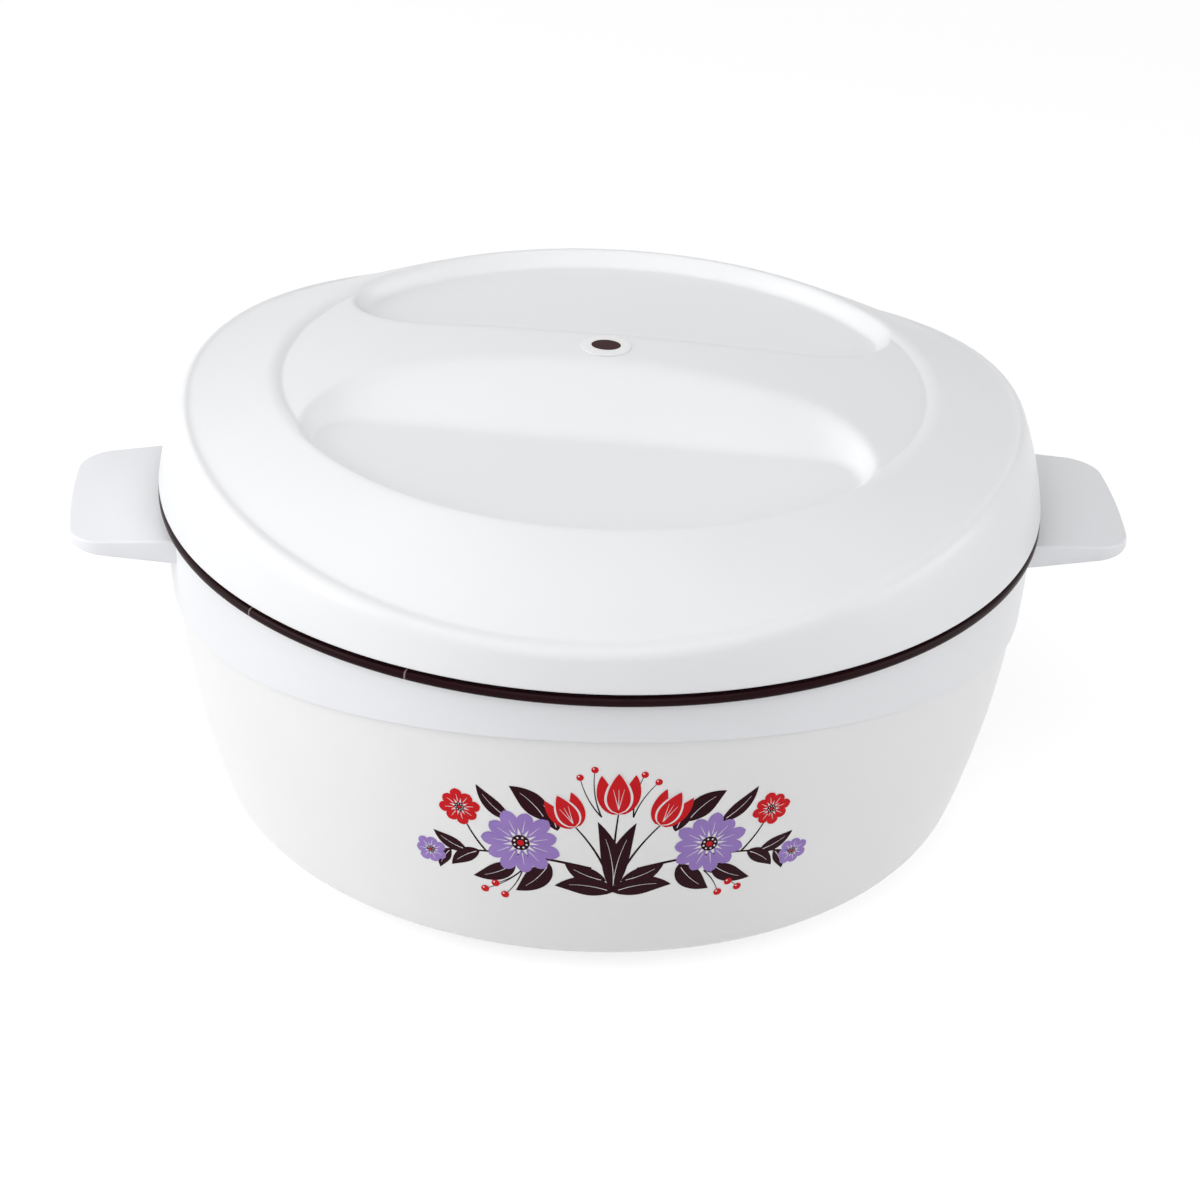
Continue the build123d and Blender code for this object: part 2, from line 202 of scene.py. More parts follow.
# %% Drawing an outline
def cut_back(curve, length):
    """The curve without its last stretch of a given length."""
    points = [np.array(p, float) for p in curve]
    while length > 0:
        step = np.linalg.norm(points[-1] - points[-2])
        if step > length:
            points[-1] = points[-1] + (points[-2] - points[-1]) * length / step
            return points
        points.pop()
        length -= step
    return points


def bent(before, corner, after, steps):
    """Points of the small curve that rounds a corner, both ends included."""
    shares = [i / steps for i in range(steps + 1)]
    return [(1 - t) ** 2 * before + 2 * t * (1 - t) * corner + t * t * after for t in shares]


def drawn(curves, cuts, steps=5):
    """One outline through the curves, with the corner after each curve rounded over its cut."""
    outline = [np.array(p, float) for p in curves[0]]
    for curve, cut in zip(curves[1:], cuts):
        if not cut:
            outline += [np.array(p, float) for p in curve[1:]]
            continue
        corner = np.array(curve[0], float)
        outline = cut_back(outline, cut)
        after = cut_back(curve[::-1], cut)[::-1]
        outline += bent(outline[-1], corner, after[0], steps)[1:-1]
        outline += after
    return [tuple(p) for p in outline]


print("a rounded corner has", len(drawn(runs([(0, 0), (1, 0), (1, 1)], [1, 1]), [0.2])), "points")

# %% [markdown]
# ## The outer bowl
#
# The bowl is one injection moulding with a flat foot, a bulging underside, a rounded heel and a side
# that leans out in a slow curve. The side is an arc through three measured radii, which the collar and
# the print on the front use as well.

# %% Side wall of the bowl
mouth_radius = 115.0
waist = (110.4, 44.0)
heel = (101.0, 9.0)
wall = 2.4
body_height = ring_base
wall_circle = circle_through(heel, waist, (mouth_radius, body_height))


def wall_radius(z):
    """Outer radius of the bowl at a height."""
    cx, cy, radius = wall_circle
    return cx + np.sqrt(radius**2 - (z - cy) ** 2)


def side(offset, low, high, steps):
    heights = [low + (high - low) * i / steps for i in range(steps + 1)]
    return [(float(wall_radius(z)) + offset, z) for z in heights]


print("radius half way up", round(float(wall_radius(body_height / 2)), 1), "mm")

# %% [markdown]
# The outline runs once round the whole wall: from the hole of the stopper along the base, up the outside
# and back down the inside. The cuts soften its corners one after the other.

# %% Outer bowl
foot_outer = 70.0
foot_inner = 61.0
foot_lift = 2.0
plug_head_thickness = 1.2
plug_stem_radius = 7.0
bowl_top = ring_base - 2.0
belly = (86.4, 2.1)
seat_clearance = 0.15

seat = foot_lift + plug_head_thickness
seat_radius = plug_head_radius + seat_clearance
inside_base = foot_lift + wall
bowl_outline = drawn(
    [
        *runs(
            [(plug_stem_radius, seat), (seat_radius, seat), (seat_radius, foot_lift),
             (foot_inner, foot_lift), (foot_inner, 0), (foot_outer, 0)],
            [1, 1, 6, 1, 1],
        ),
        arc((foot_outer, 0), belly, heel, 10),
        side(0, heel[1], bowl_top, 24),
        line((float(wall_radius(bowl_top)), bowl_top), (float(wall_radius(bowl_top)) - wall, bowl_top)),
        side(-wall, heel[1] + wall, bowl_top, 12)[::-1],
        arc((heel[0] - wall, heel[1] + wall), (belly[0] - 1, belly[1] + wall), (foot_outer, inside_base), 8),
        *runs([(foot_outer, inside_base), (plug_stem_radius, inside_base), (plug_stem_radius, seat)], [4, 1]),
    ],
    [0, 0.3, 1.0, 0.5, 1.2, 4.2, 0.3, 0.3, 3, 2, 0],
)
bowl_shell = lathe("bowl_shell", bowl_outline, 320)

# %% [markdown]
# ## Collar and handles
#
# The collar is a band round the top of the bowl whose lower edge runs in an arch: shallow at the front
# and deep under the handles. It is turned as a plain band first. Its lower part is then slid down along
# the bowl's wall, further and further towards the handles, which keeps the rounding of its edge.

# %% Collar band
collar_proud = 1.1
collar_edge_front = 80.0
collar_edge_rounding = 0.55
band_fit = 0.03          # between the band and the bowl
edge_zone = 1.6          # the rounded lower edge moves as one

collar_flange = 2.0
collar_top_radius = float(wall_radius(body_height)) + collar_proud
flange_low = body_height - collar_flange
flange_inner = 100.5
band_outline = drawn(
    [
        side(band_fit, collar_edge_front, flange_low, 12)[::-1],
        line((float(wall_radius(collar_edge_front)) + band_fit, collar_edge_front),
             (float(wall_radius(collar_edge_front)) + collar_proud, collar_edge_front)),
        side(collar_proud, collar_edge_front, body_height, 16),
        *runs(
            [(collar_top_radius, body_height), (flange_inner, body_height), (flange_inner, flange_low),
             (float(wall_radius(flange_low)) + band_fit, flange_low)],
            [3, 1, 3],
        ),
    ],
    [0, collar_edge_rounding, 0.4, 0, 0],
)
collar = lathe("collar_with_handles", band_outline, 360)

# %% [markdown]
# The arch is part of a large circle, low at the front and high at the sides or the other way round. Each
# point of the band slides down by its share of the way to the arch: the rounded lower edge goes all the
# way, the top stays. Its radius follows the wall, so the band never leaves it.

# %% Arched edge of the collar
def arch_height(x, low, high, reach):
    """Height at x of the arc that is at low on the axis and at high a distance reach from it."""
    rise = high - low
    radius = (reach**2 + rise**2) / (2 * abs(rise))
    depth = radius - np.sqrt(radius**2 - x**2)
    return low + np.sign(rise) * depth


def slide_to_arch(piece):
    """Moves the band's lower part down to the arched edge, keeping it on the wall."""
    reach = mouth_radius + collar_proud
    for vertex in piece.data.vertices:
        x, y, z = vertex.co / mm
        edge = arch_height(x, collar_edge_front, collar_edge_side, reach)
        share = (flange_low - z) / (flange_low - collar_edge_front - edge_zone)
        share = min(max(share, 0.0), 1.0)
        new_z = z - (collar_edge_front - edge) * share
        radius = hypot(x, y)
        grow = (radius + float(wall_radius(new_z) - wall_radius(z))) / radius if share > 0 else 1.0
        vertex.co = Vector((x * grow, y * grow, new_z)) * mm


slide_to_arch(collar)
print("collar edge from", round(collar_edge_front, 1), "down to", round(collar_edge_side, 1), "mm")

# %% [markdown]
# A handle is a flat tab that slopes down a little, thick at the collar and thin at its tip. It is drawn a
# little way into the wall, so that the wall cuts it off cleanly. The top face is level only until its
# points are moved: two small functions give the height of the top and of the underside at each x.

# %% Sizes of a handle
handle_root = 112.6
handle_run_in = 6.0
handle_start = handle_root - handle_run_in
handle_half_root = 30.0
handle_half_tip = 26.5
handle_corner = 8.0
handle_bow = 1.6
handle_top = body_height - 1.8
handle_slope = tan(radians(4.0))
handle_depth_root = 7.0
handle_depth_tip = 2.9
handle_wall = 2.2
handle_rounding = 1.0
handle_corner_x = handle_reach - handle_bow


def handle_top_at(x):
    return handle_top - (x - handle_root) * handle_slope


def handle_bottom_at(x):
    """Straight line from under the root to under the tip."""
    along = (x - handle_start) / (handle_reach - handle_start)
    under_tip = handle_top_at(handle_reach) - handle_depth_tip
    return (1 - along) * (handle_top - handle_depth_root) + along * under_tip


print("handle thickness at the tip", round(handle_top_at(handle_reach) - handle_bottom_at(handle_reach), 2))

# %% [markdown]
# Three helpers follow. One sets the heights of chosen points, one adds and applies a modifier, and one
# selects what passes a test and goes into edit mode, which is how a face is picked by its normal.

# %% Helpers for shaping
def set_heights(piece, chosen, height_at):
    for vertex in piece.data.vertices:
        if chosen(vertex):
            vertex.co.z = height_at(vertex.co.x / mm) * mm


def modify(piece, kind, **settings):
    """Adds one modifier and applies it."""
    only(piece)
    modifier = piece.modifiers.new(kind.title(), kind)
    for key, value in settings.items():
        setattr(modifier, key, value)
    bpy.ops.object.modifier_apply(modifier=modifier.name)


def select_where(piece, kind, test):
    """Selects the points, edges or faces for which the test holds, and enters edit mode on them."""
    only(piece)
    mesh = piece.data
    lists = {"VERT": mesh.vertices, "EDGE": mesh.edges, "FACE": mesh.polygons}
    for items in lists.values():
        for item in items:
            item.select = False
    for item in lists[kind]:
        item.select = bool(test(item))
    bpy.ops.object.mode_set(mode="EDIT")
    bpy.ops.mesh.select_mode(type=kind)


print("helpers", [helper.__name__ for helper in (set_heights, modify, select_where)])

# %% [markdown]
# The outline of the tab starts as a plane of four points. A vertex bevel rounds the two outer corners,
# and the edge between them is subdivided and bowed outwards.

# %% Plan of a handle
def handle_plan(name):
    deselect()
    bpy.ops.mesh.primitive_plane_add(size=2 * mm)
    tab = named(name)
    for vertex in tab.data.vertices:
        outer = vertex.co.x > 0
        across = np.sign(vertex.co.y) * (handle_half_tip if outer else handle_half_root)
        vertex.co = Vector((handle_corner_x if outer else handle_start, across, 0)) * mm
    select_where(tab, "VERT", lambda v: v.co.x > handle_root * mm)
    bpy.ops.mesh.bevel(offset=handle_corner * mm, segments=10, affect="VERTICES")
    leave_edit()
    tip_points = {v.index for v in tab.data.vertices if v.co.x > (handle_corner_x - 0.01) * mm}
    select_where(tab, "EDGE", lambda e: set(e.vertices) <= tip_points)
    bpy.ops.mesh.subdivide(number_cuts=8)
    leave_edit()
    for vertex in tab.data.vertices:
        x, y, z = vertex.co / mm
        if x > handle_root:
            share = (x - handle_root) / (handle_corner_x - handle_root)
            vertex.co.x += handle_bow * (1 - (y / handle_half_tip) ** 2) * share**4 * mm
    print(name, "starts with", len(tab.data.vertices), "points")
    return tab


# %% [markdown]
# The plan is extruded down and its two faces are slanted. Such a tab is hollow underneath, to save plastic
# and to give the fingers a rim: the bottom face is inset and pushed back up. A bevel rounds the edges.

# %% Body of a handle
def make_handle(name):
    tab = handle_plan(name)
    edit_all(tab)
    bpy.ops.mesh.extrude_region_move(TRANSFORM_OT_translate={"value": (0, 0, -handle_depth_root * mm)})
    leave_edit()
    set_heights(tab, lambda v: v.co.z > -0.5 * mm, handle_top_at)
    set_heights(tab, lambda v: v.co.z < 0, handle_bottom_at)
    edit_all(tab)
    bpy.ops.mesh.normals_make_consistent(inside=False)
    leave_edit()
    select_where(tab, "FACE", lambda p: p.normal.z < -0.7)
    bpy.ops.mesh.inset(thickness=handle_wall * mm)
    bpy.ops.mesh.extrude_region_move(TRANSFORM_OT_translate={"value": (0, 0, 0.5 * mm)})
    leave_edit()
    hollow = {i for polygon in tab.data.polygons if polygon.select for i in polygon.vertices}
    set_heights(tab, lambda v: v.index in hollow, lambda x: handle_top_at(x) - handle_wall)
    modify(tab, "BEVEL", width=handle_rounding * mm, segments=4, limit_method="ANGLE",
           angle_limit=radians(35))
    print(name, len(tab.data.polygons), "faces")
    return tab


right_handle = make_handle("right_handle")

# %% [markdown]
# The two tabs and the band are one moulding, so they are united with a boolean. The copy for the left
# side gets its own mesh and is turned by half a turn about the upright axis.

# %% Uniting the collar
only(right_handle)
bpy.ops.object.duplicate(linked=False)
left_handle = named("left_handle")
left_handle.data.transform(Matrix.Rotation(pi, 4, "Z"))
for tab in (right_handle, left_handle):
    modify(collar, "BOOLEAN", operation="UNION", object=tab, solver="EXACT")
    bpy.data.objects.remove(tab)
only(collar)
bpy.ops.object.shade_smooth_by_angle(angle=radians(35))
print("collar with handles", len(collar.data.polygons), "faces")

# %% [markdown]
# ## Steel liner bowl
#
# The liner is spun from thin steel sheet. Its outline is the inside of the bowl followed by the outside,
# half a millimetre apart, with a flat flange that is clamped under the trim ring.

# %% Steel liner
sheet = 0.5
liner_inside_floor = liner_floor + sheet
liner_mouth = 100.0
liner_floor_radius = 92.0
liner_corner = 16.2
liner_lean_top = liner_top - 16.0
liner_back = liner_mouth + sheet
liner_outline = drawn(
    runs(
        [
            (0, liner_inside_floor), (liner_floor_radius, liner_inside_floor), (liner_mouth, liner_lean_top),
            (liner_mouth, liner_top), (liner_flange_radius, liner_top),
            (liner_flange_radius, liner_top - sheet), (liner_back, liner_top - sheet),
            (liner_back, liner_lean_top),
            (liner_floor_radius + sheet, liner_floor), (0, liner_floor),
        ],
        [10, 10, 3, 2, 1, 2, 3, 10, 10],
    ),
    [liner_corner, 4, 0.3, 0, 0, 0.3, 4, liner_corner],
    8,
)
steel_liner = lathe("steel_liner", liner_outline, 256)

# %% [markdown]
# ## Trim ring
#
# The ring is a glossy dark bead between bowl and lid. All that shows of it is its rounded edge.

# %% Trim ring
ring_bore = 103.0
ring_recess = liner_flange_radius + 0.2
bead = 1.2
ring_outline = drawn(
    runs(
        [
            (ring_bore, liner_top), (ring_recess, liner_top), (ring_recess, ring_base),
            (ring_radius, ring_base), (ring_radius, ring_top), (ring_bore, ring_top), (ring_bore, liner_top),
        ],
        [2, 1, 2, 1, 3, 1],
    ),
    [0, 0, bead, bead, 0.4],
    8,
)
trim_ring = lathe("trim_ring", ring_outline, 320)

# %% [markdown]
# ## Underside of the lid and the two stoppers
#
# Seen from below, the lid is a plate with a plug that reaches into the steel bowl. A stopper closes the
# hole through which the foam was poured, and the bowl has the same one in its base.

# %% Lid underside
plug_radius = 98.9
plate = 2.0
plug_floor = lid_liner_floor
plug_seat = plug_floor + plug_head_thickness
plug_inside = plug_radius - plate
underside_outline = drawn(
    runs(
        [
            (plug_stem_radius, plug_seat), (seat_radius, plug_seat), (seat_radius, plug_floor),
            (plug_radius, plug_floor), (plug_radius, ring_top), (lid_liner_radius, ring_top),
            (lid_liner_radius, ring_top + plate), (plug_inside, ring_top + plate),
            (plug_inside, plug_floor + plate), (plug_stem_radius, plug_floor + plate),
            (plug_stem_radius, plug_seat),
        ],
        [1, 1, 8, 2, 2, 1, 2, 2, 8, 1],
    ),
    [0, 0.3, 1.6, 0.8, 0.3, 0.3, 0.8, 1.2, 0],
)
lid_underside = lathe("lid_underside", underside_outline, 256)

# %% [markdown]
# Both stoppers are the same small turned part, pressed in from below.

# %% Stoppers
def stopper(name, base):
    """Round stopper with a small dimple in its head, pressed in from below."""
    stem = 5.0
    dimple_radius = 1.6
    dimple_depth = 0.35
    head_top = base + plug_head_thickness
    outline = drawn(
        runs(
            [
                (0, base + dimple_depth), (dimple_radius, base + dimple_depth),
                (dimple_radius + dimple_depth, base), (plug_head_radius, base), (plug_head_radius, head_top),
                (plug_stem_radius, head_top), (plug_stem_radius, head_top + stem), (0, head_top + stem),
            ],
            [1, 1, 2, 1, 1, 1, 1],
        ),
        [0.2, 0.3, 0.4, 0, 0, 0.5],
    )
    return lathe(name, outline, 64)


bowl_stopper = stopper("bowl_stopper", foot_lift)
lid_stopper = stopper("lid_stopper", plug_floor)

# %% [markdown]
# ## The lid
#
# The lid is the piece that catches the eye. It has a leaning skirt, a rounded shoulder that rises towards
# the two ends of the grip, a crease, a dome, and in the middle two finger scoops with the grip between
# them. No lathe makes this. It would be possible to cut it with booleans and round the cuts, but soft
# mouldings come out cleaner from one smooth sheet. So a fine grid is bent round into a disc, like graph
# paper, and each of its points gets the height of the surface there. The surface is written as a few
# simple forms, a cone, a large ball and a flat floor, which are blended where they meet. First come the
# sizes of its outside, from the skirt up to the rim.

# %% Sizes of the lid
lid_wall = 2.4
skirt_radius = ring_radius
skirt_waist = (114.0, skirt_foot + 18.0)
skirt_top = (105.6, skirt_foot + 36.0)
shoulder_front = skirt_foot + 11.3
shoulder_side = skirt_foot + 24.3
crease_front = 112.3
crease_side = 109.2
crown_radius = 87.5      # the cone of the dome ends here
rim_front = skirt_foot + 29.4
rim_side = skirt_foot + 29.7
rim_roll_radius = 89.5   # from here on inwards the dome rolls over
rim_roll = 6.0
dome_belly = 1.2         # on the front and the back
ball_radius = 385.0      # of the top of the grip
skirt_circle = circle_through((skirt_radius, skirt_foot), skirt_waist, skirt_top)
print("shoulder from", round(shoulder_front, 1), "mm high at the front to", round(shoulder_side, 1))

# %% [markdown]
# Two forms are joined by the larger or the smaller of their heights. That alone would leave a sharp line,
# so a smooth bridge is laid over the places where the two heights are nearly the same.

# %% Blending two heights
def soft_max(a, b, blend):
    """The larger of two heights, with a smooth bridge where they are within blend of each other."""
    near = np.maximum(blend - np.abs(a - b), 0) / blend
    return np.maximum(a, b) + near * near * blend / 4


def soft_min(a, b, blend):
    return -soft_max(-a, -b, blend)


print("two equal heights of 1 mm blend to", soft_max(1.0, 1.0, 0.4), "and", soft_min(1.0, 1.0, 0.4))

# %% [markdown]
# The shoulder rises in an arch to both ends of the grip, and the crease on it is a little oval. From the
# crease the dome goes up as a cone, with a little belly, to a rim that rolls over into the scoops.

# %% Shoulder, crease and dome
def shelf_height(x):
    """Height of the shoulder, an arch along the grip."""
    return arch_height(x, shoulder_front, shoulder_side, crease_side)


def crease_radius(angle):
    return crease_side + (crease_front - crease_side) * np.sin(angle) ** 2


def cone_height(radius, angle):
    outer = crease_radius(angle)
    low = shelf_height(outer * np.cos(angle))
    high = rim_front + (rim_side - rim_front) * np.cos(angle) ** 2
    return low + (high - low) * (outer - radius) / (outer - crown_radius)


def dome_height(radius, angle, inset):
    """Cone with a little belly from the crease up to the rim, rolled over towards the middle."""
    share = np.clip((crease_radius(angle) - radius) / (crease_radius(angle) - crown_radius), 0, 1)
    belly_here = dome_belly * np.sin(angle) ** 2 * 4 * share * (1 - share)
    roll = np.maximum(rim_roll_radius - radius, 0) ** 2 / (2 * rim_roll)
    return cone_height(radius, angle) + belly_here - roll - inset


print("rim of the dome", round(float(dome_height(crown_radius, pi / 2, 0.0)), 2), "mm high at the front")

# %% [markdown]
# A scoop is a pocket with a flat floor. Its outline is a circle cut off by a straight chord, with large
# rounded corners, and it grows with height, so that the far wall is steep and the side of the grip is
# gentle. The height of the wall over a point is the height at which the outline has grown out to that
# point. It is found by halving an interval, for all points of the grid at once.

# %% Scoops and grip
floor_height = skirt_foot + 24.8
scoop_radius = 84.4      # on the floor, as are the chord and the corner
scoop_lean = 2.2 / 4.2   # the far wall leans out by this much for each millimetre of height
scoop_chord = 29.6
flank = tan(radians(32.7))
corner_low = 12.0
corner_growth = 1.35
largest_corner = 0.49    # of the depth of the scoop
lowest_wall, highest_wall = -5.0, 24.0
halvings = 36


def outline_distance(x, y, up, grow):
    """Distance of points outside the scoop's outline at a height above its floor."""
    radius = scoop_radius + up * scoop_lean
    chord = scoop_chord - up / flank
    corner = np.minimum(corner_low + up * corner_growth, largest_corner * (radius - chord))
    centre_y = chord + corner
    centre_x = np.sqrt((radius - corner) ** 2 - centre_y**2)
    from_x, from_y = x - centre_x, y - centre_y
    in_corner = (from_x > 0) & (from_x * centre_y > from_y * centre_x)
    straight = np.maximum(np.hypot(x, y) - radius, chord - y)
    return np.where(in_corner, np.hypot(from_x, from_y) - corner, straight) - grow


def scoop_wall(x, y, grow):
    """Height of the scoop's wall over each point."""
    low = np.full_like(x, lowest_wall)
    high = np.full_like(x, highest_wall)
    for halving in range(halvings):
        middle = (low + high) / 2
        outside = outline_distance(np.abs(x), np.abs(y), middle, grow) > 0
        low = np.where(outside, middle, low)
        high = np.where(outside, high, middle)
    return floor_height + (low + high) / 2


wall_there = scoop_wall(np.array([0.0]), np.array([scoop_radius + 1]), 0.0)[0]
print("1 mm outside the floor of a scoop its wall is", round(wall_there - floor_height, 2), "mm high")

# %% [markdown]
# The top of the grip is a patch of a large ball, so it sinks into the dome at both of its ends and needs no
# end of its own. Dome and crown are joined by the larger of the two heights, with a faint groove where
# they meet, and the pocket is cut into them by the smaller one. Both joins are softened, the one at the
# scoop's rim most.

# %% Height of the lid
crown_reach = 88.0       # here the dome is above the ball on all sides
valley_blend = 0.3
valley_depth = 0.22
valley_width = 0.35
rim_blend = 1.9
floor_blend = 1.3


def crown_height(x, y, inset):
    """Height of the ball, which counts only in the middle of the lid."""
    away = np.hypot(x, y)
    ball = grip_top - ball_radius + np.sqrt(ball_radius**2 - away**2) - inset
    return np.where(away < crown_reach, ball, 0.0)


def lid_height(x, y, inset=0.0):
    """Height of the lid's dome, grip and scoops, moved inwards by inset."""
    dome = dome_height(np.hypot(x, y), np.arctan2(y, x), inset)
    crown = crown_height(x, y, inset)
    groove = valley_depth * np.exp(-(((dome - crown) / valley_width) ** 2))
    top = soft_max(dome, crown, valley_blend) - groove
    pocket = soft_max(scoop_wall(x, y, inset), np.full_like(x, floor_height - inset), floor_blend)
    return soft_min(top, pocket, rim_blend)


print("grip top at", round(float(lid_height(np.array([0.0]), np.array([0.0]))[0]), 2), "mm")

# %% [markdown]
# Outside the crease the surface turns down and is no longer a height over a point. There each ray from
# the middle gets its own outline: dome, crease, shelf, shoulder and skirt, with rounded corners. These are
# the sizes of that outline. The skirt is the arc of a circle, like the side of the bowl.

# %% Sizes of a ray
segments = 480
dome_sample = 1.5        # the slope of the dome is taken this far inside the crease
crease_cut_dome = 1.1
crease_cut_shelf = 0.7
shoulder_cut = 3.3
foot_cut = 0.6
crease_steps = 6
shoulder_steps = 11
skirt_rows = 12


def skirt_line(height, inset=0.0):
    cx, cy, radius = skirt_circle
    return cx + sqrt(radius**2 - (height - cy) ** 2) - inset


print("the skirt leans in by", round(skirt_radius - skirt_line(skirt_foot + 18), 1), "mm up to its middle")

# %% [markdown]
# A ray first finds where its shelf meets the skirt, by a few steps of guessing and correcting. Then the two
# corners, crease and shoulder, are each rounded by a small curve, and the rows of the grid go on down the
# skirt to its foot.

# %% Rays of the lid
def ray_outline(angle, inset=0.0):
    """Radius and height of the points from the end of the dome down to the skirt's foot."""
    outer = float(crease_radius(angle))
    low = float(shelf_height(outer * cos(angle)))
    step = 0.01
    shelf_slope = (float(shelf_height((outer + step) * cos(angle))) - low) / step
    reach = 3.0
    for repeat in range(12):
        reach = skirt_line(low + shelf_slope * reach) - outer
    crease = np.array((outer - inset * 0.3, low - inset))
    dome_way = np.array((-dome_sample, float(dome_height(outer - dome_sample, angle, 0.0)) - low))
    dome_way /= np.linalg.norm(dome_way)
    shoulder = np.array((outer + reach - inset, low + shelf_slope * reach - inset))
    shelf_way = (shoulder - crease) / np.linalg.norm(shoulder - crease)
    length = np.linalg.norm(shoulder - crease)
    cut = min(shoulder_cut, length - crease_cut_shelf)
    skirt_way = np.array((skirt_line(shoulder[1] - 1) - skirt_line(shoulder[1]), -1.0))
    skirt_way /= np.linalg.norm(skirt_way)
    dome_end = crease + dome_way * crease_cut_dome
    points = bent(dome_end, crease, crease + shelf_way * crease_cut_shelf, crease_steps)
    down = shoulder + skirt_way * shoulder_cut
    points += bent(shoulder - shelf_way * cut, shoulder, down, shoulder_steps)
    foot = skirt_foot + foot_cut
    for i in range(1, skirt_rows + 1):
        height = down[1] + (foot - down[1]) * i / skirt_rows
        points.append(np.array((skirt_line(height, inset), height)))
    return points


print("points on a ray", len(ray_outline(0.0)))

# %% [markdown]
# `lid_rows` gives the rows of points: up to the crease their height comes from the formula above, and
# outside it they follow the rays. A grid is bent round to them: row i of its points goes to row i of the
# sheet, and the first point of each row comes again at its end, where the two sides of the seam are merged.

# %% Rows into a round sheet
def sheet_from_rows(name, rows, columns):
    """Closed round sheet from rows of (x, y, z) arrays, made from a grid whose seam is then merged."""
    deselect()
    bpy.ops.mesh.primitive_grid_add(x_subdivisions=columns, y_subdivisions=len(rows) - 1, size=1)
    sheet_piece = named(name)
    count = columns + 1
    wrapped = [np.concatenate((row, row[:1])) for row in rows]
    coordinates = np.concatenate(wrapped) * mm
    assert len(sheet_piece.data.vertices) == count * len(rows)
    sheet_piece.data.vertices.foreach_set("co", coordinates.ravel())
    edit_all(sheet_piece)
    bpy.ops.mesh.remove_doubles(threshold=0.0005 * mm)
    leave_edit()
    return sheet_piece


def lid_rows(columns, inner_radii, inset=0.0, dome_steps=12):
    angles = np.arange(columns) * 2 * pi / columns
    rays = np.array([ray_outline(a, inset) for a in angles])
    last_inner = inner_radii[-1]
    rows = []
    for radius in inner_radii:
        x, y = radius * np.cos(angles), radius * np.sin(angles)
        rows.append(np.stack((x, y, lid_height(x, y, inset)), axis=1))
    for i in range(1, dome_steps):
        radius = last_inner + (rays[:, 0, 0] - last_inner) * i / dome_steps
        x, y = radius * np.cos(angles), radius * np.sin(angles)
        rows.append(np.stack((x, y, lid_height(x, y, inset)), axis=1))
    for i in range(rays.shape[1]):
        radius = rays[:, i, 0]
        rows.append(np.stack((radius * np.cos(angles), radius * np.sin(angles), rays[:, i, 1]), axis=1))
    return rows


print("points in a row", segments)

# %% [markdown]
# The rows lie closest together where the surface bends most, at the far walls of the scoops. The last
# rows turn in under the foot of the skirt.

# %% Outer sheet of the lid
fine_radii = np.concatenate((
    np.arange(0, 6, 2.0),
    np.arange(6, 64, 0.9),
    np.arange(64, 84.4, 0.6),
    np.arange(84.4, 90.01, 0.4),
))
outer_rows = lid_rows(segments, fine_radii)
angles = np.arange(segments) * 2 * pi / segments


def ring_of(radius, height):
    return np.stack((radius * np.cos(angles), radius * np.sin(angles), np.full_like(angles, height)), axis=1)


foot_outer_corner = skirt_line(skirt_foot)
foot_inner_corner = foot_outer_corner - lid_wall
for t in (0.35, 0.7, 1.0):
    outer_rows.append(ring_of(foot_outer_corner - foot_cut * t * t, skirt_foot + foot_cut * (1 - t) ** 2))
outer_rows.append(ring_of(foot_inner_corner + 0.3, skirt_foot))
outer_rows.append(ring_of(foot_inner_corner, skirt_foot + 0.3))
outer_sheet = sheet_from_rows("lid_shell", outer_rows, segments)
print("outer sheet", len(outer_sheet.data.polygons), "faces")

# %% [markdown]
# The inner sheet follows the same forms, moved inwards by the wall. It hides under the plate, so a grid
# with half the columns is enough. Both sheets are joined, and the open edges at the foot are bridged.

# %% Closing the lid
inner_segments = 240
scoop_zone = 88.5
coarse_radii = np.concatenate((np.arange(0, 8, 4.0), np.arange(8, 82, 2.6), np.arange(82, 90.1, 1.6)))
inner_rows = lid_rows(inner_segments, coarse_radii, lid_wall, 6)
inner_sheet = sheet_from_rows("lid_inside", inner_rows, inner_segments)
only(outer_sheet, inner_sheet)
bpy.ops.object.join()
lid_shell = named("lid_shell")
edit_all(lid_shell)
bpy.ops.mesh.select_all(action="DESELECT")
bpy.ops.mesh.select_mode(type="EDGE")
bpy.ops.mesh.select_non_manifold(extend=False, use_wire=False, use_multi_face=False, use_non_contiguous=False,
                                 use_verts=False)
bpy.ops.mesh.bridge_edge_loops()
bpy.ops.mesh.select_all(action="SELECT")
bpy.ops.mesh.normals_make_consistent(inside=False)
leave_edit()
only(lid_shell)
for vertex in lid_shell.data.vertices:
    vertex.select = vertex.co.xy.length < scoop_zone * mm and vertex.co.z > (floor_height - 0.5) * mm
bpy.ops.object.mode_set(mode="EDIT")
bpy.ops.mesh.select_mode(type="VERT")
bpy.ops.mesh.vertices_smooth(factor=0.5, repeat=2)
leave_edit()
lid_shell.data.transform(Matrix.Rotation(lid_turn, 4, "Z"))
bpy.ops.object.shade_smooth()
print("lid", len(lid_shell.data.polygons), "faces")

# %% [markdown]
# ## Badge on the grip
#
# A small round label lies on the middle of the grip. It is a thin disc that follows the ball, with a
# plain dark oval as its only mark.

# %% Badge
badge_base = grip_top + 0.05
badge_thickness = 0.25
mark_half = (3.9, 3.2)
mark_lift = 0.04


def follow_crown(piece):
    for vertex in piece.data.vertices:
        x, y = vertex.co.x / mm, vertex.co.y / mm
        vertex.co.z -= (ball_radius - sqrt(ball_radius**2 - x * x - y * y)) * mm
    piece.data.transform(Matrix.Rotation(lid_turn, 4, "Z"))


